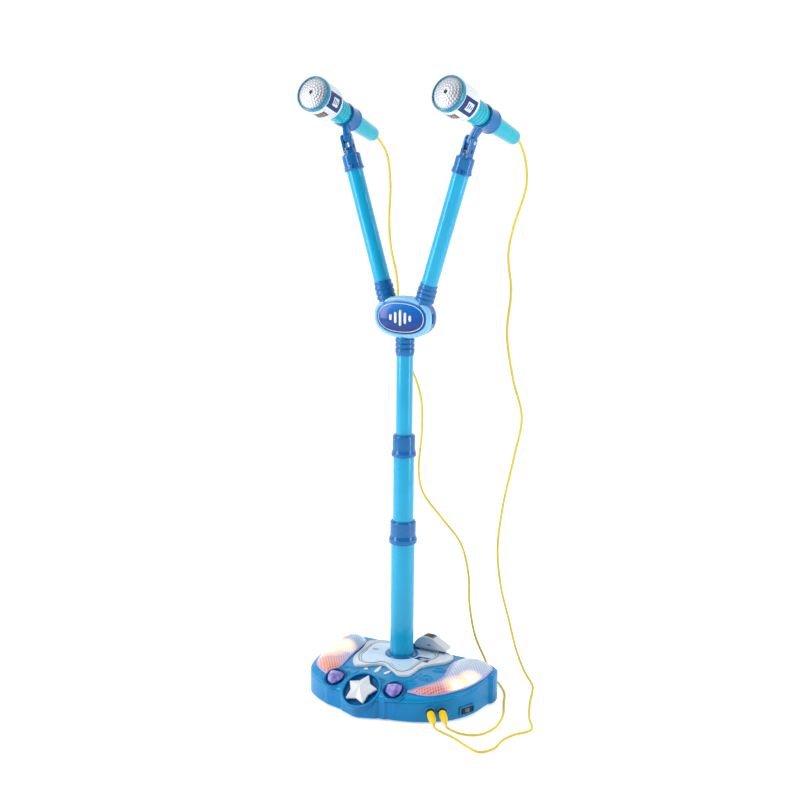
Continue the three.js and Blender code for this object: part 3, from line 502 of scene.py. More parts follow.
def rod(path, radius, sides=16):
    """A round tube along the path, with closed ends."""
    path = np.array(path, float)
    steps = np.gradient(path, axis=0)
    steps /= np.linalg.norm(steps, axis=1, keepdims=True)
    across = np.cross(steps[0], [0.3, 0.5, 0.81])
    rings = []
    angles = np.arange(sides) * 2 * math.pi / sides
    for centre, along in zip(path, steps):
        across = across - along * np.dot(across, along)
        across /= np.linalg.norm(across)
        other = np.cross(along, across)
        circle = np.outer(np.cos(angles), across) + np.outer(np.sin(angles), other)
        rings.append(centre + radius * circle)
    return loft(rings)


def hoop(path, radius, sides):
    """A rod along a closed path."""
    return rod(np.concatenate([path, path[:1]]), radius, sides)


def rounded_rectangle(width, height, corner, steps=6):
    points = []
    for sx, sy, start in ((1, 1, 0), (-1, 1, 90), (-1, -1, 180), (1, -1, 270)):
        for k in range(steps + 1):
            angle = math.radians(start + 90 * k / steps)
            x = sx * (width / 2 - corner) + corner * math.cos(angle)
            y = sy * (height / 2 - corner) + corner * math.sin(angle)
            points.append([x, y])
    return points


# ---------- places


def turn(degrees, axis):
    return Matrix.Rotation(math.radians(degrees), 4, axis)


def shift(x, y, z):
    return Matrix.Translation((x, y, z))


def on_button(button, side=1):
    return shift(side * button["x"], button["y"], button["z"]) @ turn(button["lean"], "X")


def on_arm(side):
    return shift(0, 0, ARM_ROOT_Z) @ turn(SIDES[side] * ARM_LEAN, "Y")


def on_fork(side):
    return on_arm(side) @ turn(MIC_TURN[side], "Z")


def on_clip(side):
    return on_fork(side) @ shift(0, 0, ARM_COLLAR_TOP + FORK_PIN) @ turn(-MIC_TILT[side], "X")


def on_mic(side):
    """+Z runs from the microphone's ring to its tail and -Y points up."""
    return on_clip(side) @ shift(0, RING_FROM_PIN, MIC_LIFT) @ turn(-90, "X")


def on_jack(side):
    x, y = JACKS[side]
    return shift(x, y, JACK_Z) @ turn(JACK_TURN, "Z") @ turn(90 + PLUG_DIP, "Y")


def on_switch():
    """+X points out of the wall."""
    return shift(*SWITCH) @ turn(SWITCH_TURN, "Z")


# ---------- pieces


def piece(name, shape, looks, body="base", place=None, replaces=(), slot=None, crease=35, looks_of=None):
    """A mesh object that moves with a body; looks_of gives each face the number of its material."""
    points, faces = moved(shape, place or Matrix.Identity(4))
    mesh = bpy.data.meshes.new(name)
    mesh.from_pydata((points * MM).tolist(), [], faces)
    looks = looks if isinstance(looks, list) else [looks]
    for look in looks:
        mesh.materials.append(look)
    if looks_of is not None:
        mesh.polygons.foreach_set("material_index", looks_of)
    work = bmesh.new()
    work.from_mesh(mesh)
    bmesh.ops.recalc_face_normals(work, faces=work.faces)
    work.to_mesh(mesh)
    work.free()
    mesh.shade_smooth()
    mesh.set_sharp_from_angle(angle=math.radians(crease))
    made = bpy.data.objects.new(name, mesh)
    bpy.context.collection.objects.link(made)
    if body:
        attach(made, body)
    if replaces:
        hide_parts(*replaces)
    return made


def eased(made, width, segments=3):
    """Rounds the sharp edges of a piece."""
    bevel = made.modifiers.new("edges", "BEVEL")
    bevel.width = width * MM
    bevel.segments = segments
    bevel.limit_method = "ANGLE"
    bevel.angle_limit = math.radians(25)
    return made


def sided(side, body, place):
    """Makes the pieces of one side, on one body and at one place, with the side in their names."""

    def add(name, shape, look, slot, node=None, at=None, number=None, crease=35):
        full_name = f"{name}_{side}" if number is None else f"{name}_{side}_{number}"
        replaced = [f"{node}_{side}"] if node else ()
        spot = place @ (at or Matrix.Identity(4))
        return piece(full_name, shape, look, body, spot, replaced, slot, crease)

    return add


# ---------- base shell

WALL_SPACING = 2.2
TOP_RINGS = 105

RIGHT_HALF = [
    *[[2, BASE_FRONT_Y], [6, BASE_FRONT_Y], [31, -138], [34, -134.5], [44, -134], [48, -131]],
    *smooth([[59, -129], [87, -119.5], [111, -105.5], [133, -84], [148, -52], [153, -5]], 60),
    *[[158, 1], [158.5, 10], [157, 19], [150, 25]],
    *smooth([[146, 29], [130, 38], [104, BASE_BACK_Y]], 18),
    [0, BASE_BACK_Y],
]
LEFT_EDGE = [[59, -127], [86, -113], [108, -95], [118, -74], [122, -45], [122, -5], [116, 24]]
LEFT_HALF = [
    *[[-2, BASE_FRONT_Y], [2, BASE_FRONT_Y], [27, -137], [31, -133.5]],
    *smooth([*LEFT_EDGE, [88, BASE_BACK_Y]], 80),
    [0, BASE_BACK_Y],
]
BASE_OUTLINE = refined(RIGHT_HALF + [[-x, y] for x, y in reversed(LEFT_HALF)][1:-1], WALL_SPACING)


def edge_height(y):
    """The height of the wall's top, which rises towards the back and is level from EDGE_LEVEL_Y on."""
    return EDGE_FRONT_Z + (np.minimum(y, EDGE_LEVEL_Y) - BASE_FRONT_Y) * EDGE_RISE


def dome_height(y, share):
    edge = edge_height(y)
    return edge + (PLATEAU_Z - edge) * np.maximum(0, 1 - share**4) ** 0.6


def share_at(flat):
    """How far towards the wall each point of the top is, from 0 in the middle to 1."""
    reach = BASE_OUTLINE - BASE_CENTRE
    angles = np.arctan2(reach[:, 1], reach[:, 0])
    order = np.argsort(angles)
    radii = np.linalg.norm(reach, axis=1)
    dx, dy = (flat - BASE_CENTRE).T
    limit = np.interp(np.arctan2(dy, dx), angles[order], radii[order], period=2 * math.pi)
    return np.minimum(0.995, np.hypot(dx, dy) / limit)


def surface_height(flat):
    return dome_height(flat[:, 1], share_at(flat))


def curl(x, y, radius, start, turns):
    """A spiral that winds in to a third of its radius."""
    steps = np.linspace(0, 1, 40)
    angles = np.radians(start) + steps * turns * 2 * math.pi
    reach = radius * (1 - 0.68 * steps)
    return np.column_stack([x + reach * np.cos(angles), y + reach * np.sin(angles)])


# Raised scrolls on the top, beside the buttons.
SCROLLS = [
    curl(76, -62, 12, 200, 1.4),
    curl(80, -25, 10, 230, 1.3),
    curl(66, -88, 8, 160, -1.1),
    curl(-36, -104, 8, 300, 1.3),
    curl(-54, -84, 6, 60, -1.2),
    curl(20, -108, 6, 20, 1.2),
    catmull([[63, -105], [75, -106], [86, -100], [93, -83], [97, -58], [93, -24]]),
    catmull([[52, -97], [58, -86], [62, -70], [62, -52]]),
    catmull([[-24, -113], [-28, -104], [-26, -92], [-34, -84], [-45, -82]]),
    catmull([[13, -122], [9, -106], [18, -98], [32, -104], [35, -112]]),
]
SCROLL_HEIGHT = 1.5
SCROLL_REACH = 1.9
RECESS_FLOOR = -6.5


def relief(points):
    """How high the scrolls stand above each point of the top."""
    raised = np.zeros(len(points))
    for scroll in SCROLLS:
        near = np.all(np.abs(points[:, :2] - scroll.mean(axis=0)) < 70, axis=1)
        chosen = points[near, :2]
        gaps = np.linalg.norm(chosen[:, None] - spaced(scroll, 60)[None], axis=2).min(axis=1)
        height = SCROLL_HEIGHT * np.clip(1 - (gaps / SCROLL_REACH) ** 2, 0, 1)
        raised[near] = np.maximum(raised[near], height)
    return raised


def in_button(points, button, side, radius):
    """Which points lie within a leaning button's recess."""
    lean = math.radians(button["lean"])
    across = points[:, 0] - side * button["x"]
    behind = points[:, 1] - button["y"]
    above = points[:, 2] - button["z"]
    up_slope = behind * math.cos(lean) + above * math.sin(lean)
    outwards = above * math.cos(lean) - behind * math.sin(lean)
    return (np.hypot(across, up_slope) < radius) & (outwards > RECESS_FLOOR)


def base_top():
    """The wall and the domed top in one skin, open under the buttons."""
    rings = []

    def wall_ring(margin, height):
        outline = inset(BASE_OUTLINE, margin)
        rings.append(np.column_stack([outline, height(outline[:, 1])]))

    wall_ring(0.9, lambda y: SHELL_BOTTOM + 0 * y)
    for step in np.linspace(0, 1, 14):
        wall_ring(0, lambda y: (SHELL_BOTTOM + 1.2) * (1 - step) + (edge_height(y) - 3.2) * step)
    for margin, drop in ((0.6, 2.6), (0.6, 1.9), (0, 1.3)):
        wall_ring(margin, lambda y: edge_height(y) - drop)
    wall_rings = len(rings)
    for step in np.arange(TOP_RINGS) / TOP_RINGS:
        share = 1 - step**1.3
        flat = BASE_CENTRE + (BASE_OUTLINE - BASE_CENTRE) * share
        rings.append(np.column_stack([flat, dome_height(flat[:, 1], share)]))
    points, faces = loft(rings, caps=(False, True))
    first = wall_rings * len(BASE_OUTLINE)
    points[first:, 2] += relief(points[first:])
    open_at = in_button(points, STAR, 1, STAR["dish"] + 0.6)
    for side in SIDES.values():
        open_at |= in_button(points, GEM, side, GEM["dish"] + 0.4)
    kept = [face for face in faces if len(face) > 4 or not any(open_at[i] for i in face)]
    # Faces of the top take the top's blue, faces of the wall the darker blue of painted shade.
    looks_of = [0 if min(face) >= first - len(BASE_OUTLINE) else 1 for face in kept]
    piece("base_top", (points, kept), [BASE_TOP, BASE_SHADED_SIDE], replaces=["base_top_shell"],
          slot="base_blue", looks_of=looks_of, crease=24)


def star_dish():
    dish = STAR["dish"]
    profile = [(0, -4.2), (23, -4.2), (26.4, -3), (dish - 0.4, 1.0), (dish + 0.6, 1.7)]
    profile += [(dish + 2.2, 1.7), (dish + 3.6, 0.4), (dish + 3.2, -8), (dish - 3, -13), (0, -13)]
    # The dish's darker blue is painted shade in its recess.
    piece("star_dish", revolve(soften(profile, 0.9)), DISH_SHADE_BLUE, place=on_button(STAR), slot="base_blue")
    ring = [(dish - 0.2, 1.2), (dish + 0.5, 2.1), (dish + 2.2, 2.1), (dish + 3.4, 0.7), (dish - 0.2, 1.2)]
    piece("star_dish_rim", revolve(soften(ring, 0.4)), BASE_TOP, place=on_button(STAR), slot="base_blue")


def gem_seats():
    dish = GEM["dish"]
    profile = [(0, -2.4), (11, -2.4), (dish - 1, -1.2), (dish, 1.4), (dish + 1.6, 1.8)]
    profile += [(dish + 3.6, 0.6), (dish + 3.8, -7), (0, -7)]
    angles = np.radians(np.linspace(200, 340, 40))
    for side, sign in SIDES.items():
        add = sided(side, "base", on_button(GEM, sign))
        # The seat's darker blue is painted shade in its recess.
        add("gem_seat", revolve(soften(profile, 0.8)), DISH_SHADE_BLUE, "base_blue")
        for number, (radius, lift) in enumerate([(18.2, 1.3), (21.5, 0.2)]):
            path = [(radius * math.cos(a), radius * math.sin(a) + 2 * number, lift) for a in angles]
            add("gem_crescent", rod(path, 1.0, 10), BASE_TOP, "base_blue", number=number)


# ---------- light lenses

LENS_EDGES = {
    "right": {
        "outer": [
            [72, -113], [98, -107], [119, -91], [133, -71], [143, -50], [148, -26], [150.5, -4],
            [149, 15], [137, 30], [118, 35],
        ],
        "inner": [[72, -113], [88, -90], [97, -70], [98, -45], [90, -14], [87, 8], [94, 27], [118, 35]],
        "tallest": 60,
        "look": LENS_RIGHT,
    },
    "left": {
        "outer": [
            [-68, -112], [-90, -98], [-105, -81], [-113, -58], [-116, -30], [-115, 0], [-108, 20],
            [-92, 30],
        ],
        "inner": [
            [-68, -112], [-60, -92], [-62, -70], [-67, -46], [-71, -12], [-74, 10], [-80, 25],
            [-92, 30],
        ],
        "tallest": 64,
        "look": LENS_LEFT,
    },
}
LENS_SPANS = 60


def lens(side):
    """A curved strip that bulges above the top, most along its middle line, in a lilac rim."""
    edges = LENS_EDGES[side]
    outer, inner = (np.array(smooth(edges[key], LENS_SPANS)) for key in ("outer", "inner"))
    middle = (outer + inner) / 2
    clamped = np.clip(np.arange(LENS_SPANS + 1), LENS_SPANS // 5, LENS_SPANS - LENS_SPANS // 5)
    spine = middle[clamped]
    edge = np.concatenate([outer, inner[1:-1][::-1]])
    towards = np.concatenate([spine, spine[1:-1][::-1]])
    rim = surface_height(edge) + 1.2

    def ring(share):
        flat = towards + (edge - towards) * share
        crown = edges["tallest"] - 0.12 * np.maximum(0, -flat[:, 1] - 20)
        return np.column_stack([flat, rim + (crown - rim) * (1 - share**2.2) ** 0.75])

    shares = [0.995, 0.97, 0.93, 0.88, 0.8, 0.7, 0.58, 0.45, 0.3, 0.16, 0.04]
    bottom = np.column_stack([edge, rim - 8])
    shape = loft([bottom, ring(1), *[ring(share) for share in shares]])
    piece(f"lens_{side}_cover", shape, edges["look"], replaces=[f"lens_{side}"], slot="lens")
    path = np.column_stack([edge, rim + 0.3])
    piece(f"lens_{side}_rim", hoop(path, 1.3, 10), LENS_RIM, slot="lilac")


# ---------- splash plate

SPLASH_EDGE = [
    [40, 38], [66, 36], [77, 27], [80, 14], [77, 0], [60, -22], [52, -38], [53, -58], [50, -75],
    [38, -79], [24, -70], [10, -60], [0, -54], [-13, -59], [-25, -71], [-38, -77], [-51, -64],
    [-59, -44], [-62, -22], [-66, -4], [-71, 15], [-64, 30], [-44, 38],
]
SPLASH_INNER = [
    [49, 2], [39, -13], [39, -32], [39, -51], [34, -61], [21, -57], [3, -43], [-12, -42], [-23, -54],
    [-36, -56], [-49, -40], [-53, -20], [-56, 0], [-58, 14], [-50, 26], [-20, 31], [20, 31], [48, 22],
]
SPLASH_CENTRE = np.array([0.0, -15.0])
PLATE_LIFT = 2.9


def closed_curve(points, steps):
    """A smooth closed outline through the points, counter-clockwise."""
    per_span, overlap = 16, 3
    curve = catmull([*points[-overlap:], *points, *points[:overlap]], per_span)
    start, count = overlap * per_span, len(points) * per_span
    return counter_clockwise(spaced(curve[start : start + count + 1], steps)[:-1])


def draped(outline, centre, thickness, lift, rings=22, edge=0.8):
    """A plate with the given outline that follows the base's top."""
    outline = counter_clockwise(outline)

    def ring(share, drop, margin=0.0):
        flat = centre + (inset(outline, margin) - centre) * share
        return np.column_stack([flat, surface_height(flat) + lift - drop])

    shares = 1 - (np.arange(1, rings) / rings)
    levels = [ring(1, thickness), ring(1, edge), ring(1, edge * 0.35, edge * 0.3), ring(1, 0, edge)]
    return loft([*levels, *[ring(share * 0.985, 0, edge) for share in shares]])


def splash_plate():
    outer, inner = closed_curve(SPLASH_EDGE, 220), closed_curve(SPLASH_INNER, 200)
    around = inset(inner, -1.1)
    plate = draped(outer, SPLASH_CENTRE, 2.6, PLATE_LIFT)
    # The grey band round the field is painted shade along the lip.
    line = draped(around, SPLASH_CENTRE, 0.4, PLATE_LIFT + 0.12, edge=0.1)
    field = draped(inner, SPLASH_CENTRE, 0.5, PLATE_LIFT + 0.3, edge=0.2)
    piece("splash_white", plate, WHITE, replaces=["splash_plate"], slot="white")
    piece("splash_line_painted_shade", line, PLATE_GREY_INK_AND_SHADE, slot="white")
    piece("splash_field", field, PLATE_BLUE, slot="white")
    beads = [
        ("outer", inset(outer, 1.4), PLATE_LIFT + 0.1, 1.3, WHITE),
        ("inner", inset(inner, -2.4), PLATE_LIFT + 0.1, 1.0, WHITE),
        # The grey bead is a painted shadow on the plate's border.
        ("shadow", inset(inner, -4.6), PLATE_LIFT - 0.2, 0.8, PLATE_GREY_INK_AND_SHADE),
    ]
    for name, outline, lift, radius, look in beads:
        path = np.column_stack([outline, surface_height(outline) + lift])
        piece(f"splash_bead_{name}", hoop(path, radius, 8), look, slot="white")


def splash_drops():
    """Three raised drops in front of the plate."""
    angles = np.arange(48) * 2 * math.pi / 48
    narrow = 1 - 0.35 * np.sin(angles)
    drops = [((-19, -78), 3.4, 3.4, 0), ((-2, -71), 3.0, 14, 8), ((16.5, -75), 2.8, 8.5, -10)]
    for number, (centre, half_width, half_length, lean) in enumerate(drops):
        drop = np.column_stack([half_width * np.cos(angles) * narrow, half_length * np.sin(angles)])
        outline = turned_outline(drop, lean) + centre
        shape = draped(outline, np.array(centre, float), 1.4, 1.6, rings=8)
        piece(f"splash_drop_{number}", shape, WHITE, slot="white")


def plate_marks():
    """Two small plain labels with three bars each on the plate."""
    left = [[-56, -9], [-55, 1], [-32, -2], [-33, -11]]
    right = [[27, -10], [30, 1], [50, 3], [53, -15]]
    for name, corners, look, ink in (("left", left, WHITE, PLATE_GREY_INK_AND_SHADE), ("right", right, NAVY, WHITE)):
        outline = refined(counter_clockwise(corners).tolist(), 1.5)
        centre = outline.mean(axis=0)
        label = draped(outline, centre, 0.3, PLATE_LIFT + 0.5, 6, 0.1)
        piece(f"plate_label_{name}", label, look, slot="white")
        for row in (-1, 0, 1):
            bar = np.array(rounded_rectangle(12 - 3 * abs(row), 1.1, 0.5, 3)) + centre + [0, row * 2.6]
            mark = draped(bar, bar.mean(axis=0), 0.3, PLATE_LIFT + 0.7, 3, 0.05)
            piece(f"plate_mark_{name}_{row + 1}", mark, ink, slot="white")


# ---------- buttons, pedal, switch


def star_button():
    """Five raised ridges that meet in a peak."""
    outline = []
    for k in range(10):
        reach = STAR["radius"] * (0.62 if k % 2 else 1)
        angle = math.pi / 2 + math.radians(STAR["turn"]) + k * math.pi / 5
        outline.append([reach * math.cos(angle), reach * math.sin(angle)])
    levels = [(1.0, -1.0), (1.0, 2.2), (0.02, 10.5)]
    cap = loft([at_height(np.array(outline) * share, z) for share, z in levels])
    piece("star_cap", cap, WHITE, "star_button", on_button(STAR), ["star_button"], "white", 4)
    stem = revolve(soften([(0, -15), (5.6, -15), (5.6, 0), (0, 0)], 0.5), 48)
    piece("star_stem", stem, WHITE, "star_button", on_button(STAR), slot="white")


GEM_EDGE = [
    [-13, -1], [-12.4, 6.7], [-5.5, 10.2], [3.7, 11.4], [11.6, 9.3], [12.6, 2], [9.8, -7], [4, -12],
    [-4.6, -9.8],
]


def gem_buttons():
    """Facetted drops: every second ring is turned."""
    levels = [(0.94, 0.1), (1.0, 1.2), (0.96, 3.2), (0.7, 6.2), (0.36, 8.0)]
    for side, sign in SIDES.items():
        add = sided(side, f"gem_{side}", on_button(GEM, sign))
        edge = counter_clockwise(np.array(GEM_EDGE) * [sign, 1])
        turns = [turned_outline(edge, 18 * (number % 2)) for number in range(len(levels))]
        rings = [at_height(outline * share, z) for outline, (share, z) in zip(turns, levels)]
        eased(add("gem_cap", loft(rings), LILAC, "lilac", "gem_button", crease=12), 0.35)
        add("gem_stem", revolve([(0, -12), (4.6, -12), (4.6, 1), (0, 1)], 48), LILAC, "lilac")


PEDAL_FRONT, PEDAL_BACK = 27, 47


def upright(back):
    """Stands a slab up: its height axis points to the front from the given depth."""
    return shift(0, back, 0) @ turn(90, "X")


def pedal():
    """A rocker with an arched top, a grey grip on it and a white face with a bluish tint of painted shade.
    """
    depth = PEDAL_BACK - PEDAL_FRONT
    place = upright(PEDAL_BACK)
    arch = smooth([[7, 63], [13, 71], [23, 76], [37, 75.5], [49, 69.5], [63, 62]], 40)
    outline = refined([*arch, [62, 57.5], [18, 56.5], [10, 56]], 3).tolist()
    piece("pedal_arch", slab(outline, 0, depth, 1.4), WHITE, "pedal", place, ["pedal"], "white")
    face = refined([[18, 60], [22, 70], [30, 73], [38, 71], [48, 65.4], [56, 60.6]], 2).tolist()
    # The face's bluish tint is painted shade.
    piece("pedal_face", slab(face, depth, depth + 0.5, 0.2), PEDAL_FACE_SHADE, "pedal", place, slot="white")
    # The slit is a dark sheet: painted shade for a slot in the face.
    slit = np.array(rounded_rectangle(7, 1.2, 0.5)) + [34, 64.5]
    piece("pedal_slit_shade", slab(slit, depth + 0.4, depth + 0.7, 0.1), DARK, "pedal", place, slot="white")
    pad = [[23, 75.2], [37, 74.7], [44, 69.6], [45, 70.6], [37.6, 76.2], [23, 76.8]]
    piece("pedal_grip", slab(pad, 3, depth - 3, 0.3), GRIP, "pedal", place, slot="dark")
    for number in range(7):
        x = 24 + number * 2.1
        rib = rod([(x, PEDAL_FRONT + 3.5, 76.6), (x, PEDAL_BACK - 3.5, 76.6)], 0.5, 8)
        piece(f"pedal_rib_{number}", rib, DARK, "pedal", slot="dark")


def pedal_stand():
    """Two ears that hold the pedal's pin, and the block that it comes to rest on."""
    ear = [[5, 47], [5, 58], [7, 63], [10, 65], [13, 63], [15, 58], [15, 47]]
    for number, y in enumerate((27.5, 38)):
        piece(f"pedal_ear_{number}", slab(ear, 0, 3, 0.5), AZURE, place=upright(y + 3), slot="base_blue")
    rest = slab([[49, 47], [49, 55.5], [59, 55.5], [59, 47]], 0, 9, 0.6)
    piece("pedal_rest", rest, AZURE, place=upright(40), slot="base_blue")


def switch():
    standing = on_switch() @ turn(90, "Z") @ turn(90, "X")
    outer, inner = rounded_rectangle(29, 14, 3), rounded_rectangle(24, 9.6, 2)
    rings = [at_height(line, z) for line, z in ((outer, -4), (outer, 2.8), (inner, 2.8), (inner, -2))]
    # The switch's rim takes the walls' darker blue, which is painted shade.
    eased(piece("switch_rim", loft(rings), BASE_SHADED_SIDE, place=standing, slot="base_blue"), 0.6)
    recess = slab(rounded_rectangle(25, 10.4, 2), -3, 1.7, 0.2)
    piece("switch_recess", recess, DARK, place=standing, slot="dark")
    body = slab(rounded_rectangle(8, 6, 1.2), -6, 3, 0.5)
    ridges = [slab([[x - 0.4, -2.4], [x + 0.4, -2.4], [x + 0.4, 2.4], [x - 0.4, 2.4]], 2.4, 4.6, 0.15)
              for x in (-2, -0.7, 0.7, 2)]
    piece("switch_knob", merged(body, *ridges), GRIP, "power_switch", standing, ["power_switch"], "dark")


# ---------- pole

SOCKET_RADIUS = 21.8
TUBE_WALL = 1.8


def pole_socket():
    r, inner = SOCKET_RADIUS, 18.7
    profile = [(inner, 20), (r, 20), (r, 49), (r + 4.8, 50), (r + 4.6, 53.2), (r + 3.4, 55.5)]
    profile += [(inner + 1.2, 55.5), (inner, 54), (inner, 20)]
    piece("pole_socket_ring", revolve(soften(profile, 0.8)), AZURE, replaces=["pole_socket"], slot="azure")


def tube(name, radius, low, high, body, node, place=None):
    inner = radius - TUBE_WALL
    profile = [(radius, low), (radius, high), (inner, high), (inner, low), (radius, low)]
    piece(name, revolve(soften(profile, 0.5)), CYAN, body, place, [node], "cyan")


def collar(name, sizes, inner, body, node, place=None):
    """A lock collar: a flared foot, a groove and a plain body with a rounded top."""
    low, shoulder, high, flare, plain = sizes
    profile = [
        (inner, low), (flare - 1, low), (flare, low + 1.2), (flare, shoulder - 4.4),
        (flare - 0.8, shoulder - 3.4), (plain + 0.6, shoulder - 1), (plain, shoulder + 0.4),
        (plain, high - 2.2), (plain - 1.6, high), (inner, high), (inner, low),
    ]
    piece(name, revolve(soften(profile, 0.7)), AZURE, body, place, [node], "azure")


def pole():
    tube("tube_lower", 18.4, 9.5, 244, "base", "lower_tube")
    tube("tube_middle", 16.05, 122, 379, "pole_mid", "middle_tube")
    tube("tube_upper", 12.6, 262, 556, "head", "upper_tube")
    collar("collar_lower", (234, 246, 270, 21.9, 19.9), 16.35, "base", "lower_collar")
    collar("collar_upper", (371, 381, 405, 19.1, 17.3), 12.9, "pole_mid", "upper_collar")


def ribbed_socket(name, radius, inner, low, high, narrow_top, body, node, place=None):
    """A socket with three ribs that narrows at its top or at its bottom."""
    ribs, taper, groove = 3, 5, 1.3
    pitch = (high - low - taper) / ribs
    start = low if narrow_top else low + taper
    side = []
    for k in range(ribs):
        z = start + k * pitch
        side += [(radius, z + 0.3), (radius, z + pitch * 0.72)]
        side += [(radius - groove, z + pitch * 0.8), (radius - groove, z + pitch * 0.96)]
    if narrow_top:
        side += [(inner + 0.8, high), (inner, high)]
    else:
        side = [(inner + 0.8, low), *side, (inner, start + ribs * pitch)]
    profile = [(inner, low), *side, (inner, low)]
    piece(name, revolve(soften(profile, 0.45)), AZURE, body, place, [node], "azure")


# ---------- hub


def hub_ring(margin, y, count=160):
    """The hub's outline, a rounded oval, moved inwards by the margin."""
    angles = np.arange(count) * 2 * math.pi / count
    c, s = np.cos(angles), np.sin(angles)
    x = np.sign(c) * np.abs(c) ** HUB_POWER * (HUB_HALF[0] - margin)
    z = np.sign(s) * np.abs(s) ** HUB_POWER * (HUB_HALF[1] - margin)
    return np.column_stack([x, np.full(count, y), z + HUB_Z])


def hub():
    front = [(3, 1.9), (0.2, 1.9), (0, 1.4), (0, -5.6)]
    rim = [(0.6, -5.6), (-0.5, -5.9), (-0.6, -7.6), (0, -9.6), (1.3, -11.4), (3, -12.3), (4.6, -12.5)]
    rim += [(5.2, -12.2), (5.5, -11.4), (5.8, -11.4), (6.0, -12.2), (6.6, -12.2), (7.0, -11)]
    rear = [(3, 2.1), (0.2, 2.1), (0, 2.6), (0.3, 8), (1.2, 12), (3, 14.9), (6, 16)]
    badge = [(6.4, -10.5), (6.5, -12.6), (7.1, -13.3), (10, -14), (15, -14.9), (21, -15.5), (27, -15.8)]
    for name, levels, look, replaced, slot in (
        ("hub_shell_front", front, AZURE, ["hub_front"], "rim_blue"),
        ("hub_shell_rear", rear, AZURE, ["hub_rear"], "rim_blue"),
        ("hub_shell_rim", rim, RIM_BLUE, [], "rim_blue"),
        ("hub_badge_dome", badge, BADGE, ["hub_badge"], "navy"),
    ):
        shape = loft([hub_ring(margin, y) for margin, y in levels])
        piece(name, shape, look, "head", replaces=replaced, slot=slot)
    emblem()
    # Each side's slot is a navy sheet: painted shade for a recess in the hub's side.
    for side, sign in SIDES.items():
        groove = slab(rounded_rectangle(4.6, 15, 2.2), 0, 1.0, 0.4)
        place = shift(sign * (HUB_HALF[0] - 0.5), -1.6, HUB_Z) @ turn(90 * sign, "Y") @ turn(90, "Z")
        piece(f"hub_slot_shade_{side}", groove, NAVY, "head", place, slot="navy")
    ribbed_socket("hub_socket_ribs", 14.6, 12.9, 527, 554, False, "head", "hub_socket")
    for number, x in enumerate((-26, 26)):
        screw = revolve(soften([(0, 0), (2.6, 0), (3, 0.6), (0, 1)], 0.2), 32)
        place = shift(x, 15.4, HUB_Z) @ turn(-90, "X")
        piece(f"hub_screw_{number}", screw, STEEL, "head", place, slot="steel")


def emblem():
    """A plain mark on the badge: five level bars in a thin ring."""
    for number, height in enumerate((9, 17, 24, 17, 9)):
        bar = slab(rounded_rectangle(4.2, height, 2), 0, 1.1, 0.35)
        place = shift((number - 2) * 8.2, -15.4, HUB_Z) @ turn(90, "X")
        piece(f"emblem_bar_{number}", bar, WHITE, "head", place, slot="white")
    piece("emblem_ring", hoop(hub_ring(9.6, -14.1), 0.5, 8), WHITE, "head", slot="white")


# ---------- arms, forks and clips


def arm(side):
    place = on_arm(side)
    add = sided(side, "head", place)
    neck = revolve([(12.3, 102), (12.48, 102), (12.48, 111), (12.3, 111), (12.3, 102)])
    add("arm_neck", neck, AZURE, "azure")
    tube(f"arm_tube_{side}", 12.4, 106, 314, "head", f"arm_{side}", place)
    ribbed_socket(f"arm_socket_ribs_{side}", 14.4, 12.7, 110, 137, True, "head", f"arm_socket_{side}", place)
    collar(f"arm_lock_{side}", (307, 314, 332, 15.4, 14), 8, "head", f"arm_collar_{side}", place)
    nub = slab(rounded_rectangle(3.4, 5, 1.4), 0, 1.6, 0.4)
    add("arm_nub", nub, NAVY, "azure", at=shift(6, -13.4, 312) @ turn(90, "X"))


def side_view(x):
    """Stands a slab across: its outline is (depth, height) and it grows along +X from x."""
    return shift(x, 0, 0) @ turn(90, "Z") @ turn(90, "X")


def fork(side):
    """Two cheeks on a bridge, which hold the pin that the microphone's clip tilts on."""
    add = sided(side, "head", on_fork(side))
    low, top, half = ARM_COLLAR_TOP, ARM_COLLAR_TOP + 31, 6.5
    angles = np.radians(np.linspace(0, 180, 24))
    arch = [[half * math.cos(a), top - half + half * math.sin(a)] for a in angles]
    cheek = refined([[half, low + 3], *arch, [-half, low + 3]], 2).tolist()
    cheeks = [moved(slab(cheek, 0, 4.3, 0.8), side_view(x)) for x in (-8, 3.7)]
    block = [[half, low - 1], [half, low + 10], [-half, low + 10], [-half, low - 1]]
    bridge = moved(slab(block, 0, 15.6, 0.8), side_view(-7.8))
    stem = revolve(soften([(0, low - 12), (8, low - 12), (8, low + 6), (0, low + 6)], 0.8), 64)
    add("fork_cheeks", merged(*cheeks, bridge, stem), AZURE, "azure", "fork")
    # The slits and the mouth are dark sheets: painted shade for openings in the fork.
    for number, sign in enumerate((-1, 1)):
        slit = slab(rounded_rectangle(2, 6, 0.9), 0, 0.5, 0.1)
        spot = shift(sign * 8.1, 0, low + 10) @ turn(90 * sign, "Y") @ turn(90, "Z")
        add("fork_slit", slit, DARK, "azure", at=spot, number=number)
    mouth = slab(rounded_rectangle(5.5, 4, 1.4), 0, 0.6, 0.1)
    add("fork_mouth", mouth, DARK, "azure", at=shift(0, -6.2, low + 7) @ turn(90, "X"))
    end = [(2, 8.2), (3, 8.3), (3, 9.2), (2.6, 9.6), (0, 9.6)]
    pin = revolve(soften([*[(r, -z) for r, z in reversed(end)], *end], 0.2), 32)
    add("fork_pin", pin, STEEL, "steel", "tilt_pin", shift(0, 0, low + FORK_PIN) @ turn(90, "Y"))


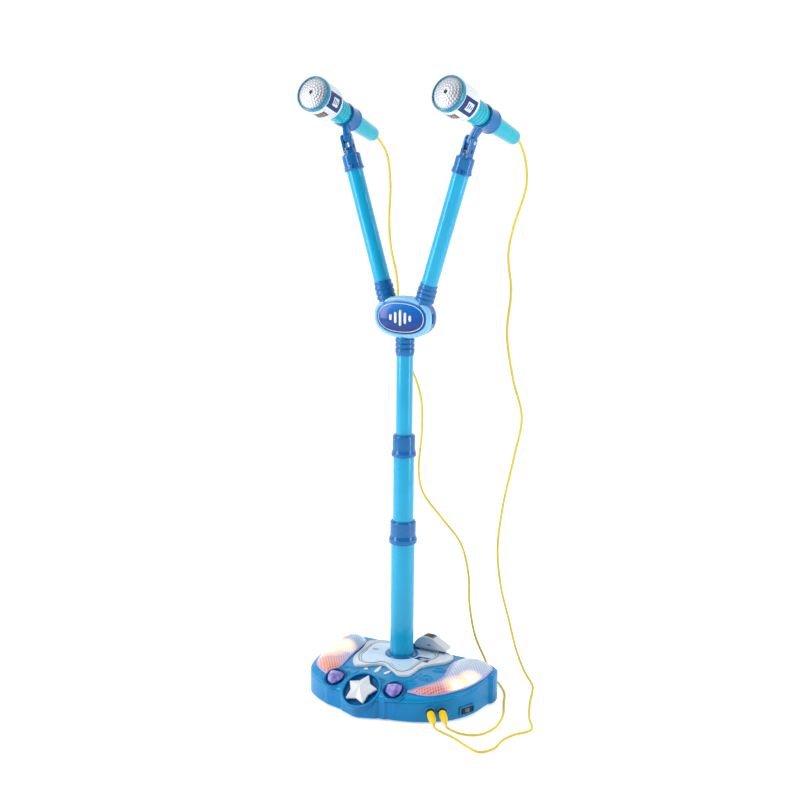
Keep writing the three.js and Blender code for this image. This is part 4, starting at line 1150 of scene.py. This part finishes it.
def clip(side):
    """A ring around the handle with a tongue that ends in an eye on the fork's pin."""
    add = sided(side, f"mic_{side}", on_clip(side))
    inner, outer, half = 15.6, 17.6, 13.5
    lip = outer + 0.7
    ring = [(inner, -half), (lip, -half), (lip, -half + 3), (outer, -half + 3.8)]
    ring += [(outer, half - 3.8), (lip, half - 3), (lip, half), (inner, half), (inner, -half)]
    on_handle = shift(0, 9, MIC_LIFT) @ turn(-90, "X")
    band = moved(revolve(soften(ring, 0.5), 96), on_handle)
    angles = np.radians(np.linspace(180, 360, 24))
    eye = [[5.4 * math.cos(a), 5.4 * math.sin(a)] for a in angles]
    tongue = moved(slab([*eye, [12, 25], [-4, 25]], 0, 6.8, 0.6), side_view(-3.4))
    add("clip_band", merged(band, tongue), AZURE, "azure", "mic_clip")
    low, high = outer + 0.4, outer + 1
    line = [(low, 0.8 - half), (high, 1 - half), (high, 2 - half), (low, 2.2 - half), (low, 0.8 - half)]
    add("clip_line", revolve(line, 96), NAVY, "azure", at=on_handle)


# ---------- microphones

DIMPLE_PITCH = 4.4
DIMPLE_RADIUS = 2.15
DIMPLE_DEPTH = 0.4
DIMPLED_RADIUS = 22.4
GRILLE_HOLE = 2.7
GRILLE_RINGS = 84
GRILLE_SIDES = 288


def grille(side):
    """A shallow metal dome with rings of dimples, and in its middle a dark disc that is painted shade for a
    hole.
    """
    add = sided(side, f"mic_{side}", on_mic(side))
    line = spaced(catmull([(0.02, -9), (9, -8.3), (17, -6.3), (21.5, -4.5), (23.3, -3.2)], 20), GRILLE_RINGS)
    angles = np.arange(GRILLE_SIDES) * 2 * math.pi / GRILLE_SIDES
    radius, around = np.meshgrid(line[:, 0], angles, indexing="ij")
    row = np.round(radius / DIMPLE_PITCH)
    count = np.maximum(1, np.round(row * 2 * math.pi))
    phase = (around * count / (2 * math.pi) + 0.5 * (row % 2)) % 1
    sideways = np.minimum(phase, 1 - phase) * 2 * math.pi / count * radius
    gap = np.hypot(sideways, radius - row * DIMPLE_PITCH)
    dimple = DIMPLE_DEPTH * np.clip(1 - (gap / DIMPLE_RADIUS) ** 2, 0, 1)
    dimple *= (row > 0.5) * (radius < DIMPLED_RADIUS)
    height = line[:, 1:] + np.where(radius < GRILLE_HOLE, 1.6, dimple)
    rings = [np.column_stack([r * np.cos(angles), r * np.sin(angles), z]) for r, z in zip(radius, height)]
    back = np.column_stack([23.2 * np.cos(angles), 23.2 * np.sin(angles), np.full(GRILLE_SIDES, 1.0)])
    add("grille_dome", loft([*rings, back]), GRILLE, "grille", "mic_grille")
    # The dark disc is painted shade for the grille's hole.
    r = GRILLE_HOLE
    centre = revolve(soften([(0, -8.2), (r - 0.3, -8.2), (r, -8), (r, -7), (0, -7)], 0.2), 48)
    add("grille_centre", centre, DARK, "dark")


def curved_panel(radius, middle, half_angle, low, high, lift=0.25, steps=24):
    """A thin panel on a cylinder about Z."""
    points = []
    for r in (radius - 0.5, radius + lift):
        for z in (low, high):
            for a in np.radians(middle + np.linspace(-half_angle, half_angle, steps)):
                points.append((r * math.cos(a), r * math.sin(a), z))
    faces = []
    top = 2 * steps
    for k in range(steps - 1):
        faces.append([top + k, top + k + 1, top + steps + k + 1, top + steps + k])
        faces.append([k, k + 1, top + k + 1, top + k])
        faces.append([steps + k, steps + k + 1, top + steps + k + 1, top + steps + k])
    faces += [[0, steps, top + steps, top], [steps - 1, top - 1, top + top - 1, top + steps - 1]]
    return points, faces


PANEL_TURN = {"left": 28, "right": 8}


def bezel(side):
    rim = HEAD_RADIUS
    profile = [
        (rim - 3.0, -4.4), (rim - 2.2, -4.8), (rim - 0.6, -4.2), (rim, -1.6), (rim, RING_BACK),
        (rim - 4.5, RING_BACK), (rim - 4.5, 1.6), (rim - 3.0, 1.3), (rim - 3.0, -4.4),
    ]
    add = sided(side, f"mic_{side}", on_mic(side))
    add("bezel_ring", revolve(soften(profile, 0.6), 128), TEAL, "teal", "mic_bezel")


def band(side):
    """The white band behind the bezel, with plain panels in place of its labels."""
    add = sided(side, f"mic_{side}", on_mic(side))
    front, outer, inner = RING_BACK + 0.3, HEAD_RADIUS - 0.3, 16
    profile = [
        (inner, front), (HEAD_RADIUS - 0.4, front), (outer, front + 1), (outer, BAND_BACK - 7),
        (HEAD_RADIUS - 1.0, BAND_BACK - 3), (HEAD_RADIUS - 3.4, BAND_BACK), (inner, BAND_BACK),
        (inner, front),
    ]
    add("band_shell", revolve(soften(profile, 1.2), 128), WHITE, "white", "mic_band")
    middle, second, third = PANEL_TURN[side], HEAD_RADIUS - 0.1, HEAD_RADIUS + 0.1
    add("band_panel", curved_panel(outer, middle, 27, front + 1.5, BAND_BACK - 8), NAVY, "navy")
    square = curved_panel(second, middle, 14, front + 11, front + 25, 0.3, 12)
    add("band_square", square, WHITE, "white")
    for number in range(3):
        z = front + 13.5 + number * 4
        mark = curved_panel(third, middle, 9 - 2 * number, z, z + 1.6, 0.3, 8)
        add("band_mark", mark, NAVY, "navy", number=number)
    label = curved_panel(outer, middle + 66, 20, front + 8, front + 22, 0.25, 16)
    add("band_label", label, LABEL_GREEN, "navy")
    dot = curved_panel(second, middle + 56, 5, front + 12, front + 18, 0.3, 8)
    add("band_dot", dot, LABEL_ROSE, "navy")


def handle(side):
    """A threaded neck and a tapering grip, with the cord's collet at its tail."""
    add = sided(side, f"mic_{side}", on_mic(side))
    threads, ridges, groove = [], 4, 1.3
    pitch = (THREAD_BACK - BAND_BACK - 6.3) / ridges
    for k in range(ridges):
        z, radius = BAND_BACK + 4.3 + k * pitch, 18.9 - 0.45 * k
        threads += [(radius, z), (radius, z + pitch * 0.6)]
        threads += [(radius - groove, z + pitch * 0.72), (radius - groove, z + pitch * 0.94)]
    profile = [
        (0, BAND_BACK + 0.3), (18.6, BAND_BACK + 0.3), *threads, (16.9, THREAD_BACK - 2),
        (15.1, THREAD_BACK), (14.6, THREAD_BACK + 32), (13.8, THREAD_BACK + 36),
        (12.7, THREAD_BACK + 66), (11.5, TAIL - 7), (10.4, TAIL - 3.4), (7.6, TAIL - 0.8),
        (3, TAIL), (0, TAIL),
    ]
    add("handle_grip", revolve(soften(profile, 0.7), 96), HANDLE, "cyan", "mic_handle")
    collet = [(1.2, TAIL - 2), (3, TAIL - 2), (2.6, TAIL + 3), (1.7, TAIL + 5), (1.2, TAIL - 2)]
    add("cord_collet", revolve(soften(collet, 0.3), 32), CORD, "cord_yellow")


# ---------- jacks, plugs and cords


def jack(side):
    """The socket in the base's wall and the plug in it; returns the plug."""
    add = sided(side, "base", on_jack(side))
    ring = [(2.1, -6), (6.8, -6), (6.8, 2.4), (6.2, 3.2), (2.6, 3.2), (2.1, 2.6), (2.1, -6)]
    add("jack_ring", revolve(soften(ring, 0.4), 64), DARK, "dark", "jack")
    boss = [(6.6, -4), (9, -4), (9, 0.6), (8.2, 1.4), (6.6, 1.4), (6.6, -4)]
    # The boss takes the walls' darker blue, which is painted shade.
    add("jack_boss", revolve(soften(boss, 0.5), 64), BASE_SHADED_SIDE, "base_blue")
    plug = [
        (0, -9), (1.4, -8), (1.75, -6), (1.75, 3.6), (5, 3.6), (5.6, 4.6), (5.6, 8), (5.1, 8.4),
        (5.1, 9.2), (5.6, 9.6), (5.6, 17), (5, 20), (3.9, 23.6), (3, 25.2), (2.7, 28),
        (2.3, PLUG_LENGTH), (0, PLUG_LENGTH),
    ]
    return add("plug_body", revolve(soften(plug, 0.5), 64), PLUG, "plug_yellow", "plug")


CORD_RADIUS = 1.9
# Where each cord lies, in metres, from its microphone's tail to its jack.
ROUTES = {
    "left": {
        "jack": "right",
        "points": [
            (-0.103, 0.122, 0.822), (-0.090, 0.112, 0.776), (-0.086, 0.102, 0.715),
            (-0.081, 0.100, 0.676), (-0.070, 0.100, 0.630), (-0.068, 0.100, 0.590),
            (-0.070, 0.100, 0.540), (-0.046, 0.098, 0.498), (-0.024, 0.098, 0.445),
            (-0.021, 0.098, 0.390), (-0.027, 0.100, 0.325), (-0.020, 0.102, 0.288),
            (0.014, 0.104, 0.249), (0.048, 0.104, 0.213), (0.064, 0.102, 0.165),
            (0.068, 0.100, 0.116), (0.080, 0.098, 0.066), (0.099, 0.095, 0.032),
            (0.119, 0.086, 0.008), (0.137, 0.073, 0.0022), (0.156, 0.048, 0.0022),
            (0.172, 0.012, 0.0022), (0.191, -0.034, 0.0022), (0.198, -0.080, 0.0022),
            (0.188, -0.111, 0.0022), (0.164, -0.123, 0.0035),
        ],
    },
    "right": {
        "jack": "left",
        "points": [
            (0.136, 0.118, 0.820), (0.143, 0.110, 0.780), (0.127, 0.102, 0.716),
            (0.121, 0.100, 0.676), (0.127, 0.100, 0.622), (0.122, 0.100, 0.556),
            (0.134, 0.100, 0.487), (0.150, 0.100, 0.430), (0.139, 0.100, 0.366),
            (0.123, 0.100, 0.290), (0.115, 0.100, 0.215), (0.122, 0.100, 0.155),
            (0.138, 0.100, 0.100), (0.150, 0.102, 0.055), (0.166, 0.102, 0.020),
            (0.182, 0.096, 0.004), (0.192, 0.074, 0.0022), (0.207, 0.030, 0.0022),
            (0.227, -0.018, 0.0022), (0.247, -0.058, 0.0022), (0.232, -0.086, 0.0022),
            (0.226, -0.112, 0.0022), (0.227, -0.142, 0.0022), (0.214, -0.162, 0.0022),
            (0.190, -0.154, 0.0022), (0.163, -0.142, 0.004),
        ],
    },
}
# The heights at which each cord's three stretches meet.
LOWER_SPLIT_Z = 300
UPPER_SPLIT_Z = 640


def cord_path(side):
    """The cord's centreline in millimetres, from the plug to the microphone."""
    mic, plug_frame = on_mic(side), on_jack(ROUTES[side]["jack"])
    start = [mic @ Vector((0, 0, TAIL + reach)) for reach in (0.3, 10)]
    end = [plug_frame @ Vector((0, 0, PLUG_LENGTH + reach)) for reach in (9, 0.3)]
    route = [Vector(p) / MM for p in ROUTES[side]["points"]]
    return catmull([tuple(p) for p in (*start, *route, *end)], 12)[::-1]


def cord_stretch(name, path, between, low, high, exit_point, replaced=()):
    """One stretch of a cord, a rod along the path."""
    made = piece(name, rod(path, CORD_RADIUS, 14), CORD, body=None, replaces=replaced, slot="cord_yellow")
    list(between)
    [c * MM for c in low]
    [c * MM for c in high]
    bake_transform(made)
    length = float(np.linalg.norm(np.diff(path, axis=0), axis=1).sum()) * MM
    [c * MM for c in exit_point]


def cords(plugs):
    for side in SIDES:
        path = cord_path(side)
        lower = int(np.argmax(path[:, 2] > LOWER_SPLIT_Z))
        upper = int(np.argmax(path[:, 2] > UPPER_SPLIT_Z))
        stretches = [
            ("lower", path[: lower + 1], ("base", "pole_mid"), (0, 0, 30), (0, 0, 290)),
            ("upper", path[lower : upper + 1], ("pole_mid", "head"), (0, 0, 310), (0, 0, 590)),
            ("top", path[upper:], ("head", f"mic_{side}"), path[upper + 3], path[-3]),
        ]
        for name, part, between, low, high in stretches:
            first = name == "lower"
            cord_stretch(f"cord_{side}_{name}", part, between, low, high, part[0],
                         [f"cord_{side}"] if first else ())


# ---------- what the CAD model shows itself


def dress_cad_nodes():
    """Gives every CAD node the look of its slot; those still shown keep their own shape."""
    for part in frame["record"]["subparts"]:
        node = frame["nodes"][part["node"]]
        node.data.materials.clear()
        node.data.materials.append(SLOT_LOOKS[part["material_slot"]])


# ---------- floor and light

FLOOR_HALF = 40.0
TO_CAMERA = (0.45, -0.83, 0.33)
# How bright the surroundings are away from the camera's side and on it.
FAR_LIGHT, NEAR_LIGHT = 1.06, 0.22


def stage():
    corners = [(x * FLOOR_HALF, y * FLOOR_HALF, 0) for x, y in ((-1, -1), (1, -1), (1, 1), (-1, 1))]
    mesh = bpy.data.meshes.new("floor")
    mesh.from_pydata(corners, [], [[0, 1, 2, 3]])
    glow = {"Emission_Color": linear("#FFFFFF"), "Emission_Strength": 0.5}
    mesh.materials.append(plastic("floor", "#F4F6F8", 0.6, 0.0, mottle=0.01, **glow))
    floor = bpy.data.objects.new("floor", mesh)
    bpy.context.collection.objects.link(floor)


def softbox(name, place, target, size, power):
    data = bpy.data.lights.new(name, "AREA")
    data.shape = "RECTANGLE"
    data.size, data.size_y = size
    data.energy = power
    light = bpy.data.objects.new(name, data)
    light.location = place
    light.rotation_euler = (Vector(target) - Vector(place)).to_track_quat("-Z", "Y").to_euler()
    bpy.context.collection.objects.link(light)


def surroundings():
    """A white tent that is dimmer behind the camera."""
    world = bpy.data.worlds.new("world")
    world.use_nodes = True
    tree = world.node_tree
    at = add_node(tree, "ShaderNodeTexCoord").outputs["Generated"]
    facing = add_node(tree, "ShaderNodeVectorMath", {0: at, 1: TO_CAMERA}, operation="DOT_PRODUCT")
    sockets = {"Value": facing.outputs["Value"], "From Min": -0.15, "From Max": 0.45}
    sockets |= {"To Min": FAR_LIGHT, "To Max": NEAR_LIGHT}
    dimming = add_node(tree, "ShaderNodeMapRange", sockets)
    background = tree.nodes["Background"]
    background.inputs["Color"].default_value = linear("#FCFDFF")
    tree.links.new(dimming.outputs["Result"], background.inputs["Strength"])
    bpy.context.scene.world = world


def lights():
    """A tall softbox on either side and a square one above."""
    softbox("key", (-1.2, -1.3, 1.15), (0, 0, 0.5), (0.6, 2.0), 31)
    softbox("side", (1.45, 0.2, 0.9), (0, 0, 0.5), (0.35, 1.7), 14)
    softbox("top", (-0.3, -0.4, 2.3), (0, 0, 0.3), (1.2, 1.2), 6)
    bpy.context.scene.view_settings.view_transform = "Standard"


# ---------- scene

add_camera()
cords({side: jack(side) for side in SIDES})
base_top()
star_dish()
gem_seats()
splash_plate()
splash_drops()
plate_marks()
star_button()
gem_buttons()
pedal()
pedal_stand()
switch()
pole_socket()
pole()
hub()
for each_side in SIDES:
    lens(each_side)
    arm(each_side)
    fork(each_side)
    clip(each_side)
    grille(each_side)
    bezel(each_side)
    band(each_side)
    handle(each_side)
dress_cad_nodes()
stage()
surroundings()
lights()
